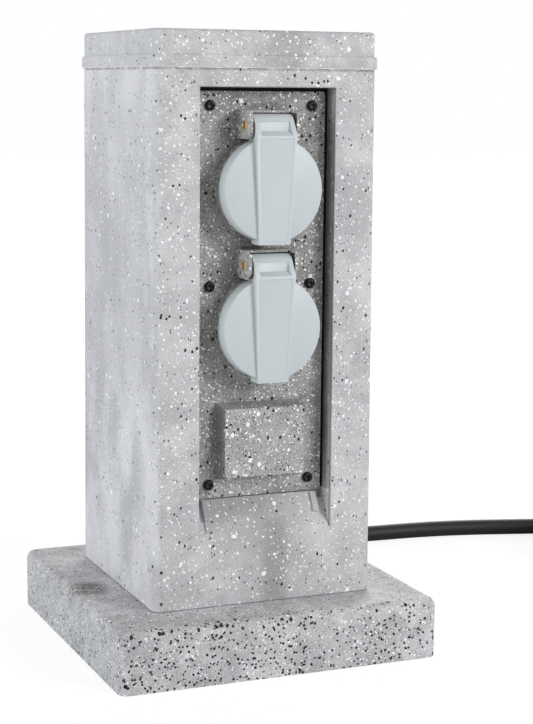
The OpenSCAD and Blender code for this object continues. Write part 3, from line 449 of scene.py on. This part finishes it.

# %% [markdown]
# The groove round the panel is painted nearly black as painted shade, and the recess's right wall is
# painted darker with its depth, also as painted shade. A seam line follows the recess's edge. A thin line
# of painted shade marks the joint on the base, and the column just under the cap's band is cloudily
# darker, both all the way round. A test on y keeps the recess's painted shade and seams off the column's
# back, which has the same x and z.

# %% Recess, seams and joints of the column
in_recess = x.inside(-RECESS_HALF - 0.0002, RECESS_HALF + 0.0002, 0.0003) * z.inside(
    0.0868, RECESS_TOP + 0.0002, 0.0004)
# Painted shade: the gap behind the panel's edge is painted nearly black.
behind = y.between(PANEL_Y - 0.0004, PANEL_Y + 0.0002) * (y < INNER_Y)
column.add(in_recess * behind * 0.93, paint(14, 14, 14))
# Painted shade: the recess's right wall is painted darker towards the panel, and less near its foot.
painted_wall_shade = in_recess * x.between(0.0350, 0.0356) * (z < RECESS_TOP) * (y < INNER_Y)
depth = (y - FRONT_Y) / (PANEL_Y - FRONT_Y)
column.add(painted_wall_shade * depth.between(-0.1, 0.9) * (z.between(0.08, 0.13) * 0.35 + 0.4), paint(26, 26, 26))
upright_seam = x.inside(0.0358, 0.0363, 0.0003) * z.inside(SILL_Z, RECESS_TOP, 0.0005)
level_seam = z.inside(RECESS_TOP, RECESS_TOP + 0.0004, 0.0002) * x.inside(-RECESS_HALF, RECESS_HALF, 0.0003)
column.add((upright_seam + level_seam) * y.between(-0.0575, -0.0582) * 0.6, paint(112, 106, 98))
ridge = on_sill * x.inside(0.0284, 0.0313, 0.0003) * z.between(0.073, 0.075)
column.add(ridge * 0.3, paint(176, 170, 160))
# Painted shade: a thin dark line where the column stands on the base, all the way round.
column.add(z.between(0.0321, 0.0317) * 0.7, paint(70, 70, 72))
under_band = z.inside(0.2994, 0.3008, 0.0004) * column.clouds(0.006, 2).between(0.3, 0.6)
column.add(under_band * 0.6, paint(132, 129, 122))
moulded(column)

# %% [markdown]
# ### The base plate and the cap
#
# The base plate is the roughest piece. Its front is full of black chips towards the near corner and of
# white ones towards the right. A dark, uneven patch with black chips in it lies on its left edge. The cap
# is like the column's front, but has its own seeds, because it is another moulding.

# %% Base finish
base = granite("base_granite", paint(156, 156, 159), paint(218, 218, 220), (0.4, 2.2, 1.7), patch=0.03)
x, y, z = base.axes()
base_left = x.between(-0.0845, -0.0858)
base.add(base_left * 0.6, base.mix(base.ground, paint(156, 160, 166), paint(204, 207, 212)))
front = y.between(-0.078, -0.085)
dark_patch = spot(x, y, (-0.077, -0.004), (0.013, 0.017)).between(1.1, 0.35) * z.between(0.022, 0.027)
dark_patch = dark_patch * (base.clouds(0.005, 3).between(0.3, 0.6) * 0.6 + 0.4)
base.add(dark_patch * (base.ground * 0.6 + 0.6), paint(108, 107, 106))
dense_black = front * (x.between(0.05, -0.05) * 0.35 + 0.3) + dark_patch * 0.5 + 0.35
dense_white = front * x.between(-0.06, 0.05) * 0.35 + 0.4
base.add(chips(base, 1.4, 0.75, 0.46, (0.5, 0.3, 0.9)), paint(66, 66, 69))
base.add(chips(base, 1.4, 0.85, 0.45, (0.1, 0.8, 0.2), 0.4, 1.4), CHIP_WHITE)
base.add(chips(base, 2.0, dense_white, 0.65, (0.7, 0.2, 0.4), 0.7, 1.5, 1.3), CHIP_WHITE)
base.add(chips(base, 2.0, dense_black, 0.7, (2.3, 1.6, 0.1)), CHIP_BLACK)
base.add(chips(base, 2.8, dense_black * front, 1.2, (1.1, 0.4, 0.7)), CHIP_BLACK)
moulded(base)

# %% [markdown]
# The cap's left side is smooth and bluish too, so it takes few chips.

# %% Cap finish
cap = granite("cap_granite", paint(162, 162, 165), paint(214, 214, 216), (1.4, 0.2, 0.7), patch=0.03)
x, y, z = cap.axes()
cap_left = x.between(-0.0560, -0.0580)
cap.add(cap_left, cap.mix(cap.ground, paint(182, 184, 189), paint(206, 208, 213)))
smear = x.inside(0.005, 0.016, 0.006) * y.between(-0.055, -0.058)
cap.add(smear * 0.3, paint(140, 140, 142))
sparse = 1 - cap_left * 0.65
cap.add(chips(cap, 1.45, 0.75 * sparse, 0.42, (0.7, 0.4, 0.5), 0.5, 1.8), CHIP_WHITE)
cap.add(chips(cap, 2.2, 0.7 * sparse, 0.66, (0.9, 0.1, 0.2), -0.7, 1.9, 1.3), CHIP_WHITE)
cap.add(chips(cap, 4.4, 0.4 * sparse, 1.1, (0.5, 0.1, 0.2), 0.6, 1.2, 1.5), CHIP_WHITE)
cap.add(chips(cap, 2.6, 0.55, 0.62, (1.3, 0.2, 0.8)), CHIP_BLACK)
moulded(cap)

# %% [markdown]
# ### The socket panel
#
# The panel is darker and denser with chips than the shell. Its raised field carries the largest white
# ones. The chips are fewer on the field's leaning sides, which are painted darker as painted shade. The
# ears that hold the lids are painted a shade paler, as painted light. The narrow gaps beside a lid's
# barrel let no light in, so the faces between the ears are painted nearly black as painted shade.

# %% Panel finish
FIELD_OUT = 0.0090
EAR_INNER = 0.0115


def near_hinges(z, below, above, soft):
    """1 from that far below to that far above each lid's hinge."""
    lower, upper = (hinge_at[level + "_lid"].z for level in ("lower", "upper"))
    return z.inside(lower - below, lower + above, soft) + z.inside(upper - below, upper + above, soft)


panel = granite("panel_granite", paint(116, 116, 115), paint(184, 184, 182), (1.1, 0.7, 0.4), patch=0.03)
x, y, z = panel.axes()
field_y = PANEL_Y - FIELD_OUT
on_field = y.between(field_y + 0.0002, field_y) * z.between(0.136, 0.134)
on_slope = y.inside(field_y + 0.0004, PANEL_Y - 0.0004, 0.0002) * z.inside(0.095, 0.1345, 0.0005)
# Painted shade: the field's leaning sides are painted darker.
panel.add(on_slope * 0.4, paint(120, 120, 117))
panel.add(on_field * 0.4, paint(188, 189, 188))
bare = 1 - on_slope * 0.7
# Painted light: the ears that hold the lids are painted a shade paler.
ear_painted_light = near_hinges(z, 0.0032, 0.0088, 0.0015) * y.between(-0.0525, -0.0555)
panel.add(ear_painted_light * 0.22, paint(186, 182, 174))
panel.add(chips(panel, 1.3, 0.8, 0.44, (1.3, 0.6, 0.8)) * bare, paint(34, 34, 35))
panel.add(chips(panel, 1.25, 0.85, 0.44, (0.7, 0.9, 0.5), 0.4, 1.3) * bare, CHIP_WHITE)
panel.add(chips(panel, 1.9, 0.65 * bare, 0.64, (0.1, 0.4, 0.5), -0.6, 1.3, 1.2), CHIP_WHITE)
panel.add(chips(panel, 3.6, bare * (on_field * 0.7 + 0.25), 1.1, (0.3, 0.1, 0.2), 0.5, 1.2, 1.2), CHIP_WHITE)
panel.add(chips(panel, 2.4, 0.6 * bare, 0.82, (0.6, 1.6, 0.8), 0.2, 1.2, 1.3), CHIP_BLACK)
# Painted shade: the faces between the ears, beside each lid's barrel, are painted nearly black.
hood_painted_shade = near_hinges(z, 0.0047, 0.0058, 0.0006) * x.inside(-EAR_INNER, EAR_INNER, 0.00005)
panel.add(hood_painted_shade * 0.8, paint(16, 16, 16))
moulded(panel)


# %% [markdown]
# ### Plain plastics, rubber and metal
#
# Even a plain moulding isn't one flat colour. Its pigment varies softly, its gloss is uneven, and the
# tool leaves a fine grain. One function gives all of them, with a colour pair for each.

# %% Plain finishes
def mottled(name, base_colour, other, patch, roughness, grain, **sockets):
    """Two near colours in soft blotches, uneven gloss and a fine grain of that depth in metres."""
    finish = Finish(name, **sockets)
    blotch = finish.clouds(patch, 4)
    fine = finish.clouds(0.0008, 3)
    finish.set(Base_Color=finish.mix(blotch * 0.7 + fine * 0.3, base_colour, other))
    finish.set(Roughness=blotch * 0.12 + (roughness - 0.06))
    finish.bump(fine, grain, 0.6)
    return finish


finishes = {
    "granite_plastic": column,
    "panel_plastic": panel,
    "lid_plastic": mottled("lid_grey", paint(190, 198, 201), paint(198, 206, 209), 0.02, 0.42, 0.00006),
    "insert_plastic": mottled("insert_black", paint(40, 41, 43), paint(54, 55, 58), 0.01, 0.4, 0.00008),
    "black_plastic": mottled("black_plastic", paint(26, 26, 28), paint(40, 40, 43), 0.008, 0.45, 0.0001),
    "black_rubber": mottled("black_rubber", paint(24, 24, 25), paint(38, 38, 40), 0.006, 0.65, 0.00012),
    "cable_rubber": mottled("cable_rubber", paint(20, 20, 22), paint(33, 33, 36), 0.012, 0.5, 0.0001,
                            Specular_IOR_Level=0.3),
    "brass": mottled("brass", paint(255, 200, 92), paint(238, 168, 60), 0.004, 0.3, 0.00003, Metallic=0.5),
    "plated_brass": mottled("nickel", paint(178, 176, 170), paint(152, 150, 144), 0.004, 0.25, 0.00002,
                            Metallic=1.0),
    "dark_steel": mottled("black_steel", paint(4, 4, 5), paint(14, 14, 15), 0.003, 0.26, 0.00003,
                          Specular_IOR_Level=0.35),
    "spring_steel": mottled("spring_wire", paint(176, 176, 178), paint(140, 140, 144), 0.002, 0.3, 0.00002,
                            Metallic=1.0),
    "brown_sheath": mottled("brown_core", paint(92, 50, 30), paint(112, 64, 40), 0.01, 0.4, 0.00003),
    "blue_sheath": mottled("blue_core", paint(30, 78, 160), paint(44, 96, 180), 0.01, 0.4, 0.00003),
}
finish_of_node = {"base_plate": base, "top_cap": cap}
print("Finishes:", len(finishes))

# %% [markdown]
# An earth core is green with yellow stripes that wind round it. A wave texture across the coordinates
# gives slanted bands, and its edge is made sharp, because the two colours are extruded side by side.

# %% Striped earth core
earth = Finish("earth_core", 0.4)
band = earth.node("ShaderNodeTexWave", {"bands_direction": "DIAGONAL"}, {
    "Vector": earth.place, "Scale": 60.0, "Distortion": 0.5, "Detail": 1.0}, output="Fac")
earth.set(Base_Color=earth.mix(band.between(0.45, 0.55), paint(60, 140, 50), paint(226, 206, 40)))
earth.bump(earth.clouds(0.0008, 2), 0.00003, 0.5)
finishes["earth_sheath"] = earth
print("Earth core:", len(earth.tree.nodes), "nodes")


# %% [markdown]
# ## Rounded edges on the imported pieces
#
# A imported node is loose triangles with knife edges, and moulded plastic never has those. Each one is
# copied, its doubles are merged and its flat faces joined, and a Bevel modifier rounds the edges that are
# sharper than an angle. The copy takes the node's place, and the node stays for collision, hidden.

# %% Softened copies
SHARP = math.radians(35)


def wear(piece, node_slot, finish=None):
    """Gives a piece the finish of that slot, or the finish given."""
    piece.data.materials.clear()
    piece.data.materials.append((finish or finishes[node_slot]).material)


def merged(node):
    """A node's faces as one bmesh, with doubles merged and flat faces joined."""
    work = bmesh.new()
    work.from_mesh(nodes[node].data)
    bmesh.ops.remove_doubles(work, verts=work.verts, dist=2e-6)
    bmesh.ops.dissolve_limit(work, angle_limit=math.radians(0.6), verts=work.verts, edges=work.edges)
    return work


def middle(item):
    """The middle of a vertex, edge or face, as a tuple."""
    corners = getattr(item, "verts", [item])
    return tuple(sum((corner.co for corner in corners), Vector()) / len(corners))


def in_order(work):
    """Sorts all elements by their middles, because extruding leaves them in no fixed order."""
    for items in (work.verts, work.edges, work.faces):
        rank = {item: number for number, item in enumerate(sorted(items, key=middle))}
        items.sort(key=rank.get)


def softened(node, width, detail=None):
    """A copy of a CAD node with rounded edges, in the node's place. Detail may change its bmesh first."""
    work = merged(node)
    if detail:
        detail(work)
    mesh = bpy.data.meshes.new(node + "_dressed")
    work.to_mesh(mesh)
    work.free()
    mesh.shade_smooth()
    mesh.set_sharp_from_angle(angle=SHARP)
    piece = as_object(node + "_dressed", mesh)
    if width:
        bevel = piece.modifiers.new("rounded", "BEVEL")
        bevel.width = width
        bevel.segments = 2
        bevel.limit_method = "ANGLE"
        bevel.angle_limit = SHARP
        bevel.harden_normals = True
        bevel.use_clamp_overlap = True
    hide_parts(node)
    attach(piece, body_of[node])
    wear(piece, slot_of[node], finish_of_node.get(node))
    return piece


print("Softening is ready")

# %% [markdown]
# ### The field on a lid's strap
#
# The strap over a lid has a shallow sunk field with a narrow rim, which stiffens it. Insetting the
# strap's front face makes the rim, and a second, very thin inset that goes down makes the step.

# %% Sunk field on the strap
STRAP_RIM = 0.0015
FIELD_DEPTH = 0.0003


def sink_strap_field(work):
    """Sinks the largest face near the lid's foremost plane, inside a narrow rim."""
    foremost = min(face.calc_center_median().y for face in work.faces)
    near = [f for f in work.faces if f.normal.y < -0.99 and f.calc_center_median().y < foremost + 0.0015]
    strap = max(near, key=lambda f: f.calc_area())
    bmesh.ops.inset_region(work, faces=[strap], thickness=STRAP_RIM, depth=0, use_even_offset=True)
    bmesh.ops.inset_region(work, faces=[strap], thickness=0.0002, depth=-FIELD_DEPTH, use_even_offset=True)
    print("Strap field:", round(strap.calc_area() * 1e6), "mm2")


# %% [markdown]
# ### Edges of every piece
#
# Large shells have edges of about half a millimetre, small turned and pressed pieces far sharper ones. The
# soft cable inlet gets none. Pieces that this lesson makes anew are left out here.

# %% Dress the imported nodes
EDGES = {
    "base_plate": 0.0006, "column": 0.0006, "top_cap": 0.0006, "socket_panel": 0.0005,
    "upper_lid": 0.0005, "lower_lid": 0.0005, "plug_body": 0.0006, "plug_face": 0.0004,
    "gland_body": 0.0005, "gland_dome_nut": 0.0005, "gland_locknut": 0.0005, "cord_tie": 0.0003,
    "upper_socket_insert": 0.0003, "lower_socket_insert": 0.0003, "column_screws": 0.0002,
    "panel_screws": 0.0002, "bend_sleeve": 0.0002, "cable_inlet": 0.0,
}
FINE_EDGE = 0.0001
MADE_ANEW = {"cord_run", "cord_coil", "upper_hinge_pin", "lower_hinge_pin", "upper_lid_spring",
             "lower_lid_spring", "brown_wires", "blue_wires", "earth_wires"}
for node in nodes:
    if node not in MADE_ANEW:
        detail = sink_strap_field if node in ("upper_lid", "lower_lid") else None
        softened(node, EDGES.get(node, FINE_EDGE), detail=detail)

# %% [markdown]
# ### The cable's finish
#
# A cable can be laid another way, a shell can't. Here the cable is given its rubber finish.

# %% Cable finish
wear(cable, "cable_rubber")

# %% [markdown]
# ## Hinge pins with a slot
#
# Each lid turns on a brass pin whose flat head shows on the hood's ear. A slot in it takes a screwdriver,
# and is painted dark red-brown as painted shade. A circle is extruded to the pin's length, both ends are
# widened to heads, and their rims are rounded. Two planes cut each head into three strips, and the middle
# strip is pushed inwards.

# %% Slotted pins
PIN_RADIUS, HEAD_RADIUS = 0.0016, 0.00205
PIN_HALF, HEAD_RISE = 0.01332, 0.0004
SLOT_HALF, SLOT_DEPTH = 0.0006, 0.0003
HEAD_END = PIN_HALF + HEAD_RISE

pin_brass = Finish("pin_brass", 0.3, Metallic=0.5)
x, y, z = pin_brass.axes()
hinge_y = hinge_at["upper_lid"].y
# Painted shade: the slot, and the strip of the pin in line with it, are painted dark red-brown.
slot_painted_shade = y.inside(hinge_y - SLOT_HALF, hinge_y + SLOT_HALF, 0.0001) * (x * x < (HEAD_END - 0.00002) ** 2)
rubbed = pin_brass.mix(pin_brass.clouds(0.001, 3), paint(255, 206, 100), paint(236, 170, 66))
pin_brass.set(Base_Color=pin_brass.mix(slot_painted_shade, rubbed, paint(40, 10, 8)))
pin_brass.bump(pin_brass.clouds(0.0006, 2), 0.00003, 0.5)


def pull(work, faces, rise, widen=1.0):
    """Extrudes faces along z, widens them about the axis and gives the new ones."""
    inner = [f for f in faces if all(len(e.link_faces) > 1 for e in f.edges)]
    pulled = bmesh.ops.extrude_face_region(work, geom=faces)["geom"]
    bmesh.ops.delete(work, geom=inner, context="FACES_ONLY")
    moved = [item for item in pulled if isinstance(item, bmesh.types.BMVert)]
    bmesh.ops.scale(work, verts=moved, vec=(widen, widen, 1))
    bmesh.ops.translate(work, verts=moved, vec=(0, 0, rise))
    return [item for item in pulled if isinstance(item, bmesh.types.BMFace)]


def slotted_pin(name, node, axis_place):
    """A brass pin along x about a point, with a slotted head at each end."""
    work = bmesh.new()
    bmesh.ops.create_circle(work, cap_ends=True, radius=PIN_RADIUS, segments=40)
    first = work.faces[:]
    last = pull(work, first, 2 * PIN_HALF)
    bmesh.ops.translate(work, verts=work.verts, vec=(0, 0, -PIN_HALF))
    for end, faces in ((-1, first), (1, last)):
        pull(work, pull(work, faces, 0, HEAD_RADIUS / PIN_RADIUS), end * HEAD_RISE)
    rims = [e for e in work.edges if all(abs(v.co.z) > HEAD_END - 1e-7 for v in e.verts)]
    bmesh.ops.bevel(work, geom=rims, offset=0.0002, offset_type="OFFSET", segments=2, profile=0.5,
                    affect="EDGES", material=-1)
    for side in (-SLOT_HALF, SLOT_HALF):
        ends = [f for f in work.faces if abs(f.calc_center_median().z) > HEAD_END - 1e-6]
        around = [e for f in ends for e in f.edges] + [v for f in ends for v in f.verts]
        cut = list(dict.fromkeys(ends + around))
        bmesh.ops.bisect_plane(work, geom=cut, plane_co=(0, side, 0), plane_no=(0, 1, 0))
    for end in (-1, 1):
        strip = [f for f in work.faces if abs(f.calc_center_median().z - end * HEAD_END) < 1e-6
                 and abs(f.calc_center_median().y) < SLOT_HALF / 2]
        pull(work, strip, -end * SLOT_DEPTH)
    bmesh.ops.recalc_face_normals(work, faces=work.faces)
    bmesh.ops.transform(work, verts=work.verts,
                        matrix=Matrix.Translation(axis_place) @ Matrix.Rotation(math.radians(90), 4, "Y"))
    print(name, "open edges:", sum(not e.is_manifold for e in work.edges), "faces:", len(work.faces))
    in_order(work)
    mesh = bpy.data.meshes.new(name)
    work.to_mesh(mesh)
    work.free()
    mesh.shade_smooth()
    mesh.set_sharp_from_angle(angle=SHARP)
    pin = as_object(name, mesh)
    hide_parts(node)
    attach(pin, body_of[node])
    wear(pin, "brass", pin_brass)


for level in ("upper", "lower"):
    slotted_pin(level + "_slotted_pin", level + "_hinge_pin", hinge_at[level + "_lid"])

# %% [markdown]
# ## Lid springs
#
# A torsion spring inside the barrel presses each lid shut. One leg bears on the panel and the other on the
# lid. The line follows the solid model's wire: a straight leg, five turns and a short leg.

# %% Springs
WIRE_RADIUS = 0.35
TURN_RADIUS = 2.4
SPRING_HALF = 3.125
TURN_PITCH = 1.25
TURNS = 5
TURN_POINTS = 24
POST_LEG = (-11.3, -6, -1.6)
LID_LEG = ((2.6, 20), (4.3, 24))


def spring_line(hinge):
    """Points of the wire about a hinge axis; the steps are (along the axis, up, out) in millimetres."""
    steps = [(-SPRING_HALF, -TURN_RADIUS, out) for out in POST_LEG]
    for index in range(TURNS * TURN_POINTS + 1):
        angle = 2 * math.pi * index / TURN_POINTS
        steps.append((TURN_PITCH * index / TURN_POINTS - SPRING_HALF, -TURN_RADIUS * math.cos(angle),
                      TURN_RADIUS * math.sin(angle)))
    for reach, degrees in LID_LEG:
        angle = math.radians(degrees)
        steps.append((SPRING_HALF, -reach * math.cos(angle), reach * math.sin(angle)))
    return [hinge + Vector((along, -out, up)) * MM for along, up, out in steps]


for level in ("upper", "lower"):
    hinge = hinge_at[level + "_lid"]
    spring = tubes(level + "_spring", [spring_line(hinge)], WIRE_RADIUS * MM, sides=12)
    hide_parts(level + "_lid_spring")
    wear(spring, "spring_steel")
    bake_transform(spring)
    print(spring.name, len(spring.data.polygons), "faces")

# %% [markdown]
# ## Core wires behind the sockets
#
# Inside the column the cable's three cores rise to the lower socket, and short links carry on to the upper
# one. They are stiff copper under a smooth sheath, so they take soft bends. The riser's steps give how far
# a core has spread to its own x, and its y and z. A link's two halves mirror each other.

# %% Wires
CORE_RADIUS = 1.5
UPPER_Z, LOWER_Z = 241.5, 172.9
CORE_APART, START_APART = 9.5, 2.3
CORE_X = {"brown": -CORE_APART, "blue": CORE_APART, "earth": 0}
CORE_LIFT = {"brown": -1.3, "blue": -1.3, "earth": 2.7}
RISE = [(0.05, 26, 53), (0.25, 16, 60), (0.6, 8, 76), (0.9, 6, 98), (1, 6, 122), (1, 6, 146)]
HALF_LINK = [(-12.9, 3.2), (-4, 3.2), (2, 8.2), (5, 19.2)]


def core_lines(core):
    """The riser from the cable's end to the lower socket, and the link to the upper one."""
    at_x, lift = CORE_X[core], CORE_LIFT[core]
    start_x = START_APART * at_x / CORE_APART
    riser = [(start_x, 35, 52 + lift)]
    riser += [(start_x + (at_x - start_x) * share, at_y, at_z + lift / 2) for share, at_y, at_z in RISE]
    riser += [(at_x, at_y, LOWER_Z - rise) for at_y, rise in HALF_LINK[2::-1]]
    link = [(at_x, at_y, LOWER_Z + rise) for at_y, rise in HALF_LINK]
    link += [(at_x, at_y, UPPER_Z - rise) for at_y, rise in HALF_LINK[::-1]]
    return [[point * MM for point in smooth_line(points, 5)] for points in (riser, link)]


for core in CORE_X:
    wires = tubes(core + "_cores", core_lines(core), CORE_RADIUS * MM, sides=12)
    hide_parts(core + "_wires")
    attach(wires, "post")
    wear(wires, core + "_sheath")
    print(wires.name, len(wires.data.polygons), "faces")

# %% [markdown]
# ## The flash under the cap's band
#
# Where the two halves of the cap's mould met, a thin, uneven skin of plastic was left under the band. It
# shows as a pale broken line. A square with rounded corners is cut into short edges, its edges are
# extruded downwards by a wavering height, and Solidify gives the skin its thickness.

# %% Cap flash
FLASH_THICKNESS = 0.00035
band_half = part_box("top_cap")[1].x
band_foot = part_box("column")[1].z


def flash_drop(place):
    """How far the skin hangs below the band at a place round the cap, in metres."""
    way = place.x * 1.3 + place.y
    waver = 0.5 * math.sin(way * 310) + 0.3 * math.sin(way * 733 + 1) + 0.2 * math.sin(way * 1900 + 2)
    return (0.3 + 0.7 * max(0, waver) ** 2) * MM


work = bmesh.new()
bmesh.ops.create_grid(work, x_segments=1, y_segments=1, size=band_half - 0.0003)
bmesh.ops.bevel(work, geom=work.verts[:], offset=0.0045, offset_type="OFFSET", segments=8, profile=0.5,
                affect="VERTICES", material=-1)
bmesh.ops.delete(work, geom=work.faces[:], context="FACES_ONLY")
long_edges = [e for e in work.edges if e.calc_length() > 0.02]
bmesh.ops.subdivide_edges(work, edges=long_edges, cuts=90)
bmesh.ops.translate(work, verts=work.verts, vec=(0, 0, band_foot + 0.0006))
pulled = bmesh.ops.extrude_edge_only(work, edges=work.edges[:])
for item in pulled["geom"]:
    if isinstance(item, bmesh.types.BMVert):
        item.co.z = band_foot - flash_drop(item.co)
in_order(work)
flash_mesh = bpy.data.meshes.new("cap_flash")
work.to_mesh(flash_mesh)
work.free()
flash_mesh.shade_smooth()
flash = as_object("cap_flash", flash_mesh)
skin = flash.modifiers.new("skin", "SOLIDIFY")
skin.thickness = FLASH_THICKNESS
skin.offset = 0
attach(flash, "post")
flash_finish = mottled("flash_pale", paint(216, 214, 206), paint(244, 242, 234), 0.004, 0.5, 0.00005)
wear(flash, "granite_plastic", flash_finish)
print("Flash:", len(flash_mesh.polygons), "faces")

# %% [markdown]
# ## Stage and light
#
# The photograph is a cut-out on white. The wide lamp stands to the right of the front, so that each lid
# shades the panel on its left. A second lamp at the far left lights the column's left side and only grazes
# the front. The third only matters from behind. The world gives the even rest.

# %% World and lamps
ROOM_LIGHT, WHITE = 0.34, 1.0

world = bpy.data.worlds.new("studio")
scene.world = world
world.use_nodes = True
sky = world.node_tree
background = sky.nodes["Background"]
background.inputs["Color"].default_value = (1, 1, 1, 1)
rays = sky.nodes.new("ShaderNodeLightPath")
shown = sky.nodes.new("ShaderNodeMath")
shown.operation = "MAXIMUM"
sky.links.new(rays.outputs["Is Camera Ray"], shown.inputs[0])
sky.links.new(rays.outputs["Is Glossy Ray"], shown.inputs[1])
strength = sky.nodes.new("ShaderNodeMix")
sky.links.new(shown.outputs[0], strength.inputs[0])
strength.inputs[2].default_value = ROOM_LIGHT
strength.inputs[3].default_value = WHITE
sky.links.new(strength.outputs[0], background.inputs["Strength"])


def lamp(name, place, target, size, power):
    """A square area lamp that faces a point."""
    data = bpy.data.lights.new(name, "AREA")
    data.size = size
    data.energy = power
    light = bpy.data.objects.new(name, data)
    scene.collection.objects.link(light)
    aim = (Vector(target) - Vector(place)).to_track_quat("-Z", "Y")
    light.matrix_world = Matrix.Translation(place) @ aim.to_matrix().to_4x4()


AIM = (0, 0, 0.17)
lamp("key", (1.2, -1.95, 0.95), AIM, 0.8, 30)
lamp("left", (-2.2, -0.2, 0.75), AIM, 1.2, 26)
lamp("back", (1.3, 1.9, 1.0), AIM, 1.2, 22)

# %% [markdown]
# The floor is matt and nearly white. Only the camera sees it glow, so the post's shadow stays visible while
# the floor adds no light to the post. Further out the glow takes over, and the picture's edge is white.

# %% Floor
FLOOR_HALF = 6
GLOW = 1.13
GLOW_NEAR = 0.75

floor_mesh = bpy.data.meshes.new("floor")
work = bmesh.new()
bmesh.ops.create_grid(work, x_segments=1, y_segments=1, size=FLOOR_HALF)
work.to_mesh(floor_mesh)
work.free()
floor = as_object("floor", floor_mesh)
floor_finish = Finish("white_floor", 0.9)
floor_finish.set(Base_Color=(0.86, 0.86, 0.87, 1))
x, y, z = floor_finish.axes()
far = (x * x + y * y).between(0.15, 0.6)
seen = floor_finish.node("ShaderNodeLightPath", output="Is Camera Ray")
glow = floor_finish.node("ShaderNodeEmission", values={"Color": (1, 1, 1, 1), "Strength": GLOW})
matt = Value(floor_finish, floor_finish.shader.outputs[0])
blend = floor_finish.node("ShaderNodeMixShader", values={
    0: seen * (far * (1 - GLOW_NEAR) + GLOW_NEAR), 1: matt, 2: glow})
floor_finish.tree.links.new(blend.socket, floor_finish.tree.nodes["Material Output"].inputs["Surface"])
floor_mesh.materials.append(floor_finish.material)
print("Floor ready")
